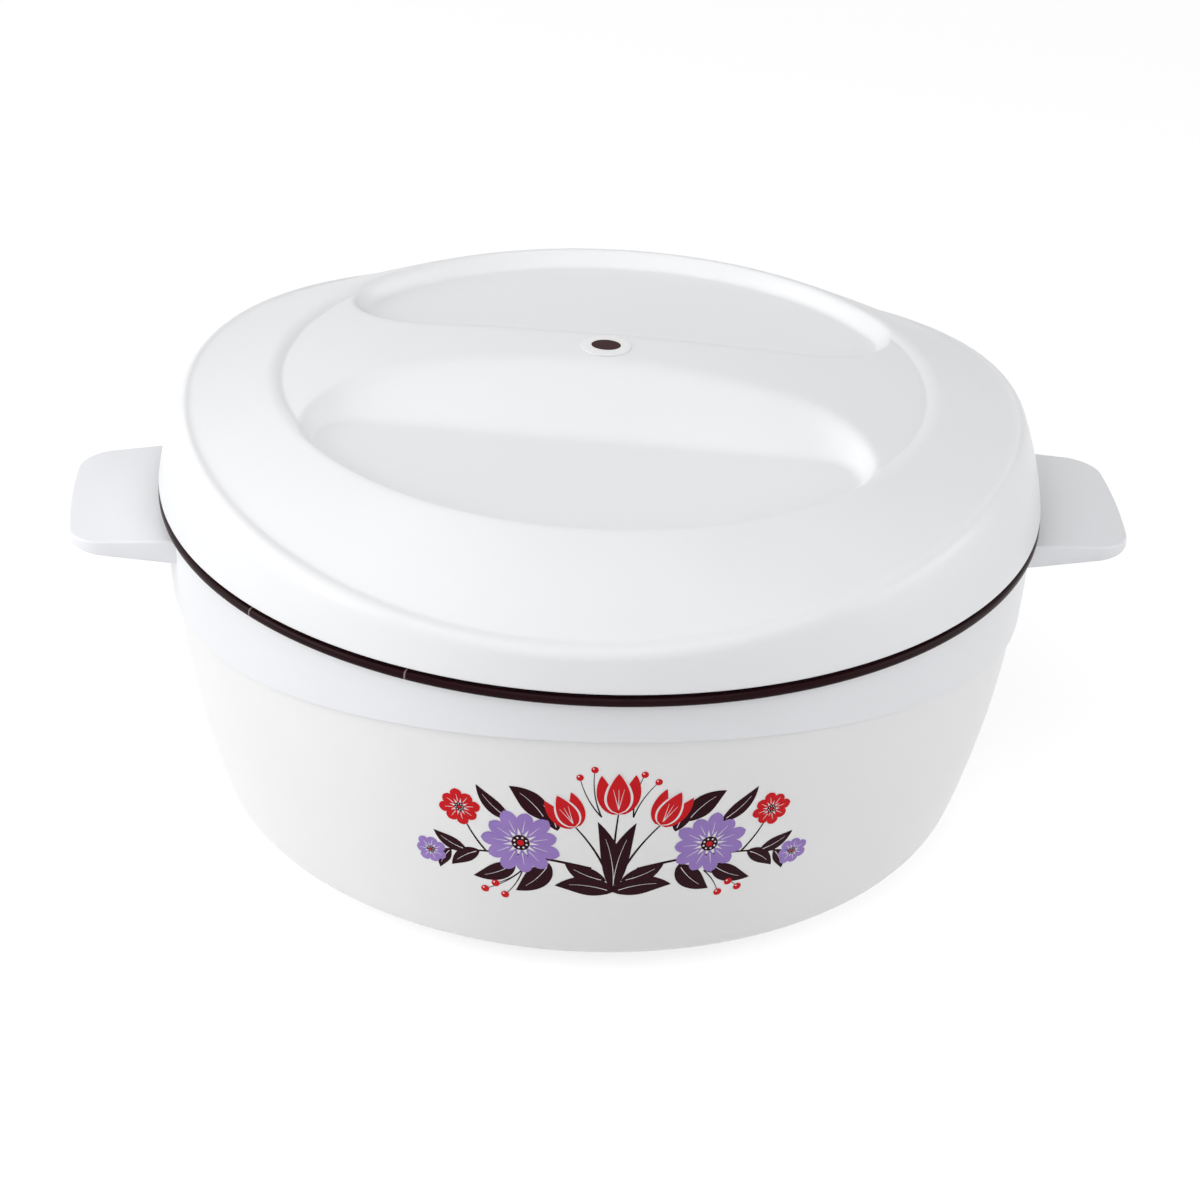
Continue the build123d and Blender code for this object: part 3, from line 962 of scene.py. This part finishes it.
mark_base = badge_base + badge_thickness
mark_top = mark_base + mark_lift
badge_outline = drawn(
    runs([(0, badge_base), (badge_radius, badge_base), (badge_radius, mark_base), (0, mark_base)], [6, 1, 6]),
    [0.05, 0.12],
)
badge = lathe("round_badge", badge_outline, 96)
follow_crown(badge)
mark_outline = [(0, mark_base), (0.8, mark_base), (1, mark_base)]
mark_outline += [(radius, mark_top) for radius, height in mark_outline[::-1]]
badge_mark = lathe("badge_mark", mark_outline, 64)
badge_mark.data.transform(Matrix.Diagonal((*mark_half, 1, 1)))
follow_crown(badge_mark)

# %% [markdown]
# ## Flowers on the bowl
#
# The front of the bowl carries a floral print in four inks. A picture file would tie the pot to a texture,
# so every leaf, petal and stem is a small grid that is bent to its shape: the rows of the grid follow a
# line, and a formula gives the width on either side. The shapes are laid out flat first, u along the wall
# and v up the wall. A point of that plane is a complex number, so that turning it is a multiplication.

# %% One printed shape
ink_shapes = {"print_maroon": [], "print_red": [], "print_lilac": [], "print_white": []}
ink_film = 0.015
ink_step = 0.02          # each layer of ink lies this much above the one before
print_centre = complex(-1.3, 49.0)


def printed(ink, layer, line_at, half_width, rows, across=4):
    """Adds one flat shape to an ink, bent along line_at(t) with half_width(t) on either side."""
    deselect()
    bpy.ops.mesh.primitive_grid_add(x_subdivisions=rows, y_subdivisions=across, size=2)
    shape = bpy.context.object
    for vertex in shape.data.vertices:
        t = (vertex.co.x + 1) / 2
        way = line_at(t + 0.001) - line_at(t - 0.001)
        point = print_centre + line_at(t) + 1j * way / abs(way) * vertex.co.y * max(half_width(t), 0.02)
        vertex.co = (point.real, point.imag, layer * ink_step)
    ink_shapes[ink].append(shape)


def curved(start, end, bow=0.0):
    """A line from start to end that bows to its left by a share of its length."""
    middle = (start + end) / 2 + 1j * (end - start) * bow
    return lambda t: (1 - t) ** 2 * start + 2 * t * (1 - t) * middle + t * t * end


def dot(ink, layer, centre, radius):
    across = curved(centre - radius, centre + radius)
    printed(ink, layer, across, lambda t: radius * sqrt(max(1 - (2 * t - 1) ** 2, 0)), 12)


print("inks", list(ink_shapes))

# %% [markdown]
# Stems are long thin shapes that taper. A leaf is widest before its middle and pointed at its tip, and it
# has a fine white midrib. Two functions give the widths that most of the shapes share.

# %% Stems and leaves
stem_half = 0.42
vein_half = 0.10
leaf_fullness = 1.3


def almond(half, skew, fullness):
    """Half width of a shape that starts and ends in a point. A skew above 1 moves it to the tip."""
    return lambda t: half * sin(pi * t**skew) ** fullness if 0 < t < 1 else 0.0


def taper(half, loss=0.65):
    """Half width of a line that gets thinner towards its end."""
    return lambda t: half * (1 - loss * t)


def stem(start, end, bow=0.0, half=stem_half, ink="print_maroon", layer=0):
    printed(ink, layer, curved(start, end, bow), taper(half, 0.55), 24, 2)


def leaf(start, end, bow=0.1, half=2.2, layer=1):
    """A pointed leaf with its midrib."""
    spine = curved(start, end, bow)
    printed("print_maroon", layer, spine, almond(half * leaf_fullness, 0.8, 0.9), 18)
    printed("print_white", layer + 1, lambda t: spine(0.1 + 0.66 * t), taper(vein_half), 12, 2)


print("leaf veins", round(2 * vein_half, 2), "mm wide at the root")

# %% [markdown]
# A daisy is a wheel of narrow rounded petals round a dark eye with a ring of dots. A tulip has two outer
# petals that lean apart and a middle one on top, which is set off by a white rim. Berries sit on stalks.

# %% Daisies, tulips and berries
def petal(ink, layer, centre, way, root, tip, half):
    """A rounded petal that is widest near its tip."""
    line_at = curved(centre + way * root, centre + way * tip)
    printed(ink, layer, line_at, almond(half, 1.7, 0.6), 14)


def daisy(centre, radius, petals, turn, ink="print_lilac"):
    for i in range(petals):
        angle = turn + 2 * pi * i / petals
        way = complex(cos(angle), sin(angle))
        reach = radius * (1 + 0.05 * cos(3 * i))
        petal(ink, 3, centre, way, radius * 0.2, reach, 2.35 * radius / petals)
        stroke = curved(centre + way * radius * 0.34, centre + way * radius * 0.72)
        printed("print_white", 4, stroke, taper(vein_half), 6, 2)
    dot("print_maroon", 5, centre, radius * 0.24)
    dot("print_red", 6, centre, radius * 0.09)
    for i in range(8):
        angle = turn + 2 * pi * i / 8
        dot("print_white", 6, centre + radius * 0.165 * complex(cos(angle), sin(angle)), radius * 0.028)


def tulip(base, angle, length):
    """A tulip seen from the side, standing on its base and leaning by an angle from the upright."""
    up = 1j * complex(cos(angle), -sin(angle))
    for hand in (1, -1):
        tip = base + up * length * complex(0.96, 0.34 * hand)
        printed("print_red", 3, curved(base, tip, 0.16 * hand), almond(length * 0.2, 0.72, 0.8), 14)
    rim_line = curved(base, base + up * length * 1.04)
    printed("print_white", 4, rim_line, almond(length * 0.29, 0.72, 0.8), 14)
    front_line = curved(base + up * 0.25, base + up * length)
    printed("print_red", 5, front_line, almond(length * 0.24, 0.72, 0.8), 14)
    for lean in (-0.11, 0.0, 0.11):
        stroke = curved(base + up * length * 0.12, base + up * length * complex(0.62, lean))
        printed("print_white", 6, stroke, taper(vein_half), 8, 2)


def berry(stalk, place, radius=1.15):
    stem(stalk, place, 0.12, 0.2)
    dot("print_red", 3, place, radius)
    dot("print_white", 4, place + complex(-0.35, 0.35) * radius, radius * 0.22)


print("shapes of a flower", ["petal", "stroke", "eye", "dots"])

# %% [markdown]
# The design is a bunch of three tulips in the middle, a daisy on either side of it, and two boughs that
# droop outwards with leaves, berries and small flowers. Left and right are not quite the same, as in a
# drawing by hand, so the right side is a mirror of the left with its own small changes of size and bow.

# %% The bunch in the middle
foot_point = complex(0, -17)
tulip(complex(0.2, 9), radians(-2), 12.5)
tulip(complex(-10.5, 4.5), radians(-27), 10.8)
tulip(complex(11, 5.2), radians(25), 11.2)
stem(foot_point, complex(0.2, 9), 0.04)
stem(foot_point, complex(-10.5, 4.5), -0.12)
stem(foot_point, complex(11, 5.2), 0.12)
for hand, size in ((-1, 1.0), (1, 0.95)):
    leaf(foot_point, complex(4.9 * hand, 6.5 * size), 0.12 * hand, 2.1)
    leaf(foot_point, complex(15.5 * hand, -15.5 * size), 0.18 * hand, 2.5)
    leaf(complex(2 * hand, -13), complex(13 * hand, -7.5 * size), -0.14 * hand, 2.0)
print("shapes so far", sum(len(shapes) for shapes in ink_shapes.values()))

# %% [markdown]
# `hand` is -1 on the left and 1 on the right, so one list of places serves for both boughs.

# %% Boughs with daisies
for hand, size, bow in ((-1, 1.0, 0.15), (1, 0.94, 0.17)):
    at = lambda x, y: complex(x * hand, y)
    daisy(at(24.5, -2), 10.2 * size, 11, 0.3 * hand)
    bough = curved(at(6, -9), at(50.5, -10), bow * hand)
    stem(at(6, -9), at(50.5, -10), bow * hand)
    daisy(at(40.5, 6.5), 5.4 * size, 8, 0.2, "print_red")
    stem(bough(0.62), at(40.5, 6.5), -0.1 * hand, 0.3)
    daisy(bough(0.97), 4.3, 7, 0.5)
    leaf(at(18, 6), at(27.5, 15.5 * size), 0.16 * hand, 2.4)
    leaf(at(15, 3), at(20.5, 13.0), 0.12 * hand, 1.7)
    leaf(at(27, 5), at(36, 14.5), -0.14 * hand, 1.6)
    leaf(at(17, -8), at(26, -18.5 * size), -0.16 * hand, 2.5)
    leaf(at(26, -9), at(37.5, -15.5), -0.16 * hand, 2.1)
    leaf(bough(0.66), bough(0.66) + at(8, -6.5), 0.14 * hand, 1.7)
    leaf(bough(0.74), bough(0.74) + at(9, 4.5), -0.14 * hand, 1.6)
    leaf(bough(0.84), bough(0.84) + at(3.5, -7.0), 0.14 * hand, 1.3)
    for x, y in ((31.5, -17.0), (34.5, -19.5), (29.0, -20.5)):
        berry(at(24, -11), at(x, y * size))
    for x, y in ((6.2, 22.5), (9.8, 20.0)):
        berry(at(4.0, 8.0), at(x, y * size), 0.95)
print("printed shapes", sum(len(shapes) for shapes in ink_shapes.values()))

# %% [markdown]
# Now each ink becomes one piece. Its shapes are joined, given the thickness of the ink film by an
# extrusion, and wrapped on the wall: u becomes an angle, v a height and the layer a distance from the
# wall. The film is thin, but it is a closed solid with its normals outwards, as every piece should be.

# %% Wrapping the print on the wall
ink_base = 0.03
print_reach = mouth_radius


def wrapped(name, shapes):
    only(*shapes)
    bpy.ops.object.join()
    ink = named(name)
    edit_all(ink)
    bpy.ops.mesh.extrude_region_move(TRANSFORM_OT_translate={"value": (0, 0, -ink_film)})
    bpy.ops.mesh.select_all(action="SELECT")
    bpy.ops.mesh.normals_make_consistent(inside=False)
    leave_edit()
    for vertex in ink.data.vertices:
        u, v, lift = vertex.co
        angle = -pi / 2 + u / print_reach
        radius = float(wall_radius(v)) + ink_base + lift
        vertex.co = Vector((radius * cos(angle), radius * sin(angle), v)) * mm
    print(name, len(ink.data.polygons), "faces")
    return ink


inks = [wrapped(name, shapes) for name, shapes in ink_shapes.items()]

# %% [markdown]
# ## Riding and replacing
#
# Each skin says which body it moves with, which node of the solid model it stands for, and a material
# of the record; that material is not used here, as the finishes are given further down. The node it
# stands for is hidden. The inks and the badge's mark stand for no node.

# %% Bodies and nodes
skins = [
    (bowl_shell, "base", "outer_bowl", "white_plastic"),
    (collar, "base", "handle_collar", "white_plastic"),
    (steel_liner, "base", "inner_bowl", "liner_steel"),
    (trim_ring, "base", "rim_ring", "ring_plastic"),
    (bowl_stopper, "base", "bowl_fill_plug", "plug_plastic"),
    (lid_shell, "lid", "lid_cover", "white_plastic"),
    (lid_underside, "lid", "lid_liner", "liner_plastic"),
    (lid_stopper, "lid", "lid_fill_plug", "plug_plastic"),
    (badge, "lid", "grip_badge", "badge_plastic"),
]
for piece, body, node, slot in skins:
    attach(piece, body)
    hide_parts(node)
for ink in inks:
    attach(ink, "base")
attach(badge_mark, "lid")
print(len(skins), "skins and", len(inks) + 1, "pieces of their own")

# %% [markdown]
# ## Finishes as expressions
#
# A finish is a small calculation: take the place on the surface, make some noise from it, and turn that
# into a colour, a roughness and a bump. Node by node that is hard to read. So `Value` wraps one socket,
# and the operators + - * ** < and > on it add Math nodes, also where the number comes first.

# %% Values
class Value:
    """One output socket. Arithmetic on it adds Math nodes."""

    def __init__(self, finish, socket):
        self.finish = finish
        self.socket = socket

    def __add__(self, other):
        return self.finish.math("ADD", self, other)

    def __sub__(self, other):
        return self.finish.math("SUBTRACT", self, other)

    def __rsub__(self, other):
        return self.finish.math("SUBTRACT", other, self)

    def __mul__(self, other):
        return self.finish.math("MULTIPLY", self, other)

    def __pow__(self, other):
        return self.finish.math("POWER", self, other)

    def __rpow__(self, other):
        return self.finish.math("POWER", other, self)

    def __lt__(self, other):
        return self.finish.math("LESS_THAN", self, other)

    def __gt__(self, other):
        return self.finish.math("GREATER_THAN", self, other)

    __radd__ = __add__
    __rmul__ = __mul__


print("operators", [name for name in vars(Value) if name.startswith("__") and name != "__init__"])

# %% [markdown]
# `Finish` clears a tree and has one method, `node`, for every kind of node: it takes the type, the settings,
# and the values or links of the sockets. A setting comes first, because it can change the sockets.

# %% Nodes
class Finish:
    """The node tree of a material or of the world."""

    def __init__(self, owner):
        owner.use_nodes = True
        self.owner = owner
        self.tree = owner.node_tree
        self.tree.nodes.clear()

    def node(self, kind, settings=None, values=None, output=0):
        """Adds a node and returns one of its outputs."""
        made = self.tree.nodes.new("ShaderNode" + kind)
        for name, setting in (settings or {}).items():
            setattr(made, name, setting)
        for name, value in (values or {}).items():
            if isinstance(value, Value):
                self.tree.links.new(value.socket, made.inputs[name])
            else:
                made.inputs[name].default_value = value
        return Value(self, made.outputs[output]) if len(made.outputs) else made

    def math(self, operation, *values):
        return self.node("Math", {"operation": operation}, dict(enumerate(values)))


print("words so far", [word for word in vars(Finish) if not word.startswith("__")])

# %% [markdown]
# A few more words for our small language. `place` is the position in the piece's own space, `noise` gives
# 0 to 1 with spots of a given size in millimetres, and `mixed` blends two colours. A Mix node carries the
# sockets of all its data types, so those of a colour are found by their number.

# %% Words for materials
mix_first_color, mix_second_color, mix_color_result = 6, 7, 2


class Coating(Finish):
    """A surface material, with the pieces that most finishes need."""

    def __init__(self, name):
        super().__init__(bpy.data.materials.new(name))
        self.place = self.node("TexCoord", output="Object")

    def noise(self, spot, detail=2.0, place=None):
        values = {"Vector": place or self.place, "Scale": 1 / (spot * mm), "Detail": detail}
        return self.node("TexNoise", None, values)

    def mixed(self, share, first, second):
        values = {0: share, mix_first_color: first, mix_second_color: second}
        return self.node("Mix", {"data_type": "RGBA"}, values, mix_color_result)

    def bump(self, height, depth, strength=1.0, normal=None):
        """Relief of a height field of 0 to 1 that is depth millimetres deep."""
        values = {"Height": height, "Distance": depth * mm, "Strength": strength}
        if normal:
            values["Normal"] = normal
        return self.node("Bump", None, values)

    def surface(self, **values):
        """Ends the tree in a Principled shader. An underscore in a name stands for a space."""
        sockets = {name.replace("_", " "): value for name, value in values.items()}
        shader = self.node("BsdfPrincipled", None, sockets)
        self.node("OutputMaterial", None, {"Surface": shader})
        return self.owner


def shade(level, tint=(1.0, 1.0, 1.0)):
    return tuple(level * part for part in tint) + (1.0,)


print("a spot of 1 mm has a noise scale of", round(1 / mm))

# %% [markdown]
# ## White mouldings
#
# Bowl, collar and lid are injection mouldings in white plastic, glossy but not like glass. Three things
# make it look moulded: the tone drifts a little over a hand's breadth, where the melt flowed, a faint
# waviness bends long reflections, and an orange peel of under a millimetre breaks up small ones. The lid
# and the collar are a cooler white than the bowl, partly in their own tone and partly as a painted bluish
# reflection of the surroundings, so the function takes the tint.

# %% Moulded white plastic
# the bluish tints of lid and collar are partly their own tone and partly a painted bluish reflection
cool_white_with_painted_reflection = (0.975, 0.982, 1.0)
collar_tint_with_painted_reflection = (0.965, 0.972, 1.0)
warm_white = (1.0, 1.0, 1.0)


def moulded(name, level, tint, gloss_roughness):
    coating = Coating(name)
    drift = coating.noise(45, 1.0)
    peel = coating.noise(0.9, 1.0)
    waves = coating.noise(14, 0.0)
    scuffs = coating.noise(5, 4.0)
    color = coating.mixed(drift, shade(level * 0.975, tint), shade(level * 1.02, tint))
    relief = coating.bump(peel, 0.004, 0.6, coating.bump(waves, 0.05, 0.5))
    return coating.surface(
        Base_Color=color,
        Roughness=gloss_roughness + (scuffs - 0.5) * 0.08,
        Normal=relief,
        IOR=1.5,
        Specular_IOR_Level=0.3,
    )


lid_white = moulded("white_lid_plastic", 0.90, cool_white_with_painted_reflection, 0.3)
collar_white = moulded("white_collar_plastic", 0.89, collar_tint_with_painted_reflection, 0.3)
bowl_white = moulded("white_bowl_plastic", 0.88, warm_white, 0.3)
under_white = moulded("white_underside_plastic", 0.86, (1.0, 1.0, 0.985), 0.32)
print("white plastics", [white.name for white in (lid_white, collar_white, bowl_white, under_white)])

# %% [markdown]
# The dark ring is the same kind of plastic in a deep maroon. Where its mould closed, two fine pale lines
# cross the bead. A line is found from the angle about the upright axis: it is pale where the distance
# along the ring from the seam's angle is less than half the width of the line.

# %% Maroon ring with its seams
seam_angles = (radians(-141.4), radians(-117.2))
seam_half = 0.22
seam_paleness = 0.55


def ring_finish():
    coating = Coating("maroon_ring_plastic")
    separate = coating.node("SeparateXYZ", None, {"Vector": coating.place}, "X")
    y = Value(coating, separate.socket.node.outputs["Y"])
    angle = coating.math("ARCTAN2", y, separate)
    seams = 0.0
    for seam in seam_angles:
        away = coating.math("ABSOLUTE", angle - seam) * ring_radius
        seams = (away < seam_half) + seams
    tone = coating.mixed(coating.noise(6, 2.0), (0.011, 0.0016, 0.003, 1), (0.018, 0.003, 0.005, 1))
    return coating.surface(
        Base_Color=coating.mixed(seams * seam_paleness, tone, (0.42, 0.34, 0.34, 1)),
        Roughness=0.26 + coating.noise(2, 2.0) * 0.08,
        Normal=coating.bump(coating.noise(1.2, 1.0), 0.004, 0.5),
        Specular_IOR_Level=0.07,
    )


ring_maroon = ring_finish()
print("seams at", [round(seam * 180 / pi, 1) for seam in seam_angles], "degrees")

# %% [markdown]
# The liner is spun and brushed while it turns, so its fine scratches are rings about the axis. Noise in
# round coordinates does that: its first coordinate is the radius, its second the height, both fine, and
# the third is the angle, which is kept coarse so that each scratch is long.

# %% Brushed steel
scratch_spot = 0.35
angle_share = 0.0012     # small, so that a scratch is long


def steel_finish():
    coating = Coating("brushed_liner_steel")
    x = coating.node("SeparateXYZ", None, {"Vector": coating.place}, "X")
    y, z = (Value(coating, x.socket.node.outputs[axis]) for axis in ("Y", "Z"))
    radius = (x * x + y * y) ** 0.5
    angle = coating.math("ARCTAN2", y, x)
    round_place = coating.node("CombineXYZ", None, {"X": radius, "Y": z, "Z": angle * angle_share})
    scratches = coating.noise(scratch_spot, 3.0, round_place)
    smears = coating.noise(22, 2.0)
    return coating.surface(
        Base_Color=coating.mixed(smears, (0.60, 0.60, 0.595, 1), (0.68, 0.68, 0.675, 1)),
        Metallic=1.0,
        Roughness=0.2 + scratches * 0.16 + smears * 0.05,
        Normal=coating.bump(scratches, 0.006, 0.6),
        Anisotropic=0.4,
    )


liner_steel = steel_finish()
print("scratches", scratch_spot, "mm apart")

# %% [markdown]
# The last finishes are small ones. The stoppers have a dull, slightly grained face. Foam is cells: a
# Voronoi pattern gives them, darker and deeper at their borders. The badge is a glossy label with a dark
# mark, and the inks are glossy, a little uneven in colour, and follow the wall under them.

# %% Stoppers, foam, label and inks
def grained(name, first, second, roughness, spot, depth, gloss=0.5):
    coating = Coating(name)
    grain = coating.noise(spot, 3.0)
    return coating.surface(
        Base_Color=coating.mixed(coating.noise(spot * 6, 2.0), (*first, 1), (*second, 1)),
        Roughness=roughness + (grain - 0.5) * 0.1,
        Normal=coating.bump(grain, depth, 0.5),
        Specular_IOR_Level=gloss,
    )


def foam_finish():
    coating = Coating("rigid_foam")
    cells = coating.node("TexVoronoi", None, {"Vector": coating.place, "Scale": 1 / (1.6 * mm)})
    return coating.surface(
        Base_Color=coating.mixed(cells, (0.84, 0.78, 0.56, 1), (0.70, 0.60, 0.38, 1)),
        Roughness=0.9,
        Normal=coating.bump(1 - cells, 0.3, 0.7),
    )


stopper_grey = grained("stopper_plastic", (0.76, 0.76, 0.75), (0.81, 0.81, 0.80), 0.45, 0.6, 0.01)
label_white = grained("badge_label", (0.86, 0.86, 0.87), (0.90, 0.90, 0.90), 0.15, 1.5, 0.004)
mark_dark = grained("badge_mark_ink", (0.030, 0.006, 0.008), (0.042, 0.010, 0.012), 0.3, 1.5, 0.002, 0.03)
foam = foam_finish()
ink_tones = {
    "print_maroon": ((0.020, 0.0025, 0.006), (0.032, 0.005, 0.010)),
    "print_red": ((0.56, 0.008, 0.014), (0.68, 0.020, 0.024)),
    "print_lilac": ((0.30, 0.19, 0.52), (0.38, 0.25, 0.60)),
    "print_white": ((0.80, 0.78, 0.80), (0.86, 0.84, 0.85)),
}
ink_finishes = {
    name: grained(name + "_ink", first, second, 0.3, 1.2, 0.003, 0.05)
    for name, (first, second) in ink_tones.items()
}
print("inks", [finish.name for finish in ink_finishes.values()])

# %% [markdown]
# Every piece gets its finish. The two foam bodies are shown as the solid model has them, hidden between
# the shells, and only their material slots are changed.

# %% Giving out the finishes
finishes = [
    (lid_white, (lid_shell,)),
    (collar_white, (collar,)),
    (bowl_white, (bowl_shell,)),
    (under_white, (lid_underside,)),
    (stopper_grey, (bowl_stopper, lid_stopper)),
    (ring_maroon, (trim_ring,)),
    (liner_steel, (steel_liner,)),
    (label_white, (badge,)),
    (mark_dark, (badge_mark,)),
]
for finish, pieces in finishes:
    for piece in pieces:
        piece.data.materials.clear()
        piece.data.materials.append(finish)
for ink in inks:
    ink.data.materials.append(ink_finishes[ink.name])
for node in ("bowl_foam", "lid_foam"):
    for material_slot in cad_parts[node].material_slots:
        material_slot.material = foam
print("finishes given to", sum(len(pieces) for finish, pieces in finishes) + len(inks), "pieces")

# %% [markdown]
# ## Camera
#
# The pot is seen from in front and a little above, with a long lens. The camera looks down by its pitch
# and is tilted a touch to one side. Its own axes follow from the three angles by cross products, which is
# safer than juggling Euler orders. The whole rig is then turned about the pot's axis.

# %% Camera
camera_distance = 843.16      # millimetres from the pot's axis
camera_height = 513.42
camera_pitch = radians(28.4435)
camera_yaw = radians(0.0883)
camera_roll = radians(2.4850)
view_turn = radians(-4.6)

camera_data = bpy.data.cameras.new("camera")
camera_data.lens = 105
camera_data.sensor_width = 36
camera = bpy.data.objects.new("camera", camera_data)
bpy.context.scene.collection.objects.link(camera)
flat_ahead = Vector((sin(camera_yaw), cos(camera_yaw), 0))
ahead = cos(camera_pitch) * flat_ahead - Vector((0, 0, sin(camera_pitch)))
level = Vector((cos(camera_yaw), -sin(camera_yaw), 0))
upward = level.cross(ahead)
camera_x = cos(camera_roll) * level + sin(camera_roll) * upward
camera_y = cos(camera_roll) * upward - sin(camera_roll) * level
axes = Matrix((camera_x, camera_y, -ahead)).transposed().to_4x4()
stand = Matrix.Translation(Vector((0, -camera_distance, camera_height)) * mm)
camera.matrix_world = Matrix.Rotation(view_turn, 4, "Z") @ stand @ axes
bpy.context.scene.camera = camera
print("camera", camera_distance, "mm away and", camera_height, "mm up")

# %% [markdown]
# ## Floor and background
#
# The pot stands on a white sheet that runs into a white background. To the camera, and in reflections,
# the floor shows part of its light as a glow of its own, so that it stays white and keeps only a soft
# shadow of the pot. Further away, where the lamps hardly reach, the glow takes over. All other rays see a
# plain pale floor.

# %% Floor
floor_shade = 0.48
floor_glow = 0.72
fade_start = 0.35        # metres from the pot
fade_end = 1.0
floor_size = 12


def seen_directly(finish):
    """1 for camera rays and for rays that are reflected or refracted, 0 for those that carry light."""
    kinds = ("Is Camera Ray", "Is Glossy Ray", "Is Transmission Ray")
    first, second, third = (finish.node("LightPath", output=kind) for kind in kinds)
    return finish.math("MAXIMUM", finish.math("MAXIMUM", first, second), third)


deselect()
bpy.ops.mesh.primitive_plane_add(size=floor_size)
floor = named("floor")
sheet_finish = Finish(bpy.data.materials.new("white_sheet"))
dull = sheet_finish.node("BsdfDiffuse", None, {"Color": shade(0.8)})
shaded = sheet_finish.node("BsdfDiffuse", None, {"Color": shade(floor_shade)})
glow = sheet_finish.node("Emission", None, {"Color": shade(1.0), "Strength": floor_glow})
near = sheet_finish.node("AddShader", None, {0: shaded, 1: glow})
far = sheet_finish.node("Emission", None, {"Color": shade(1.0), "Strength": 1.0})
place = sheet_finish.node("TexCoord", output="Object")
away = sheet_finish.node("VectorMath", {"operation": "LENGTH"}, {0: place}, "Value")
fading = sheet_finish.node("MapRange", None, {"Value": away, "From Min": fade_start, "From Max": fade_end})
shown = sheet_finish.node("MixShader", None, {0: fading, 1: near, 2: far})
both = sheet_finish.node("MixShader", None, {0: seen_directly(sheet_finish), 1: dull, 2: shown})
sheet_finish.node("OutputMaterial", None, {"Surface": both})
floor.data.materials.append(sheet_finish.owner)
print("floor", floor_size, "m wide, all white from", fade_end, "m on")

# %% [markdown]
# The world is white in the same way: to the camera and in reflections it is a white backdrop, while it
# lights the pot only faintly.

# %% World
world_light = 0.03

world = bpy.data.worlds.new("studio")
bpy.context.scene.world = world
surround = Finish(world)
backdrop = surround.node("Background", None, {"Color": shade(1.0), "Strength": 1.0})
ambient = surround.node("Background", None, {"Color": shade(1.0), "Strength": world_light})
both = surround.node("MixShader", None, {0: seen_directly(surround), 1: ambient, 2: backdrop})
surround.node("OutputWorld", None, {"Surface": both})
print("world lights with", world_light)

# %% [markdown]
# ## Studio lights
#
# The light comes from large soft boxes, as in a light tent: a strong one above the front, strong ones on
# the left, a somewhat weaker one on the right, and faint ones between them that even out the shades. Each
# is an area lamp that is turned towards the pot.

# %% Soft boxes
aim = Vector((0, 0, 0.07))
soft_boxes = {
    "top": ((0, 0.1, 1.3), (1.4, 1.1), 2.0),
    "top_front": ((0, -0.6, 1.15), (1.4, 0.9), 5.1),
    "front": ((0, -1.3, 0.7), (1.4, 0.8), 4.6),
    "left": ((-1.25, -0.2, 0.45), (0.9, 0.8), 8.6),
    "left_rear": ((-0.95, 0.8, 0.7), (0.9, 0.8), 1.4),
    "left_top": ((-0.8, 0, 1.05), (1.0, 0.9), 3.0),
    "right": ((1.25, -0.2, 0.45), (0.9, 0.8), 6.2),
    "rear": ((0, 1.3, 0.8), (1.2, 0.7), 0.75),
}
for name, (place, size, power) in soft_boxes.items():
    lamp_data = bpy.data.lights.new(name, "AREA")
    lamp_data.shape = "RECTANGLE"
    lamp_data.size, lamp_data.size_y = size
    lamp_data.energy = power
    lamp = bpy.data.objects.new(name, lamp_data)
    bpy.context.scene.collection.objects.link(lamp)
    lamp.location = place
    lamp.rotation_euler = (aim - Vector(place)).to_track_quat("-Z", "Y").to_euler()
bpy.context.scene.view_settings.view_transform = "Standard"
print(len(soft_boxes), "soft boxes")
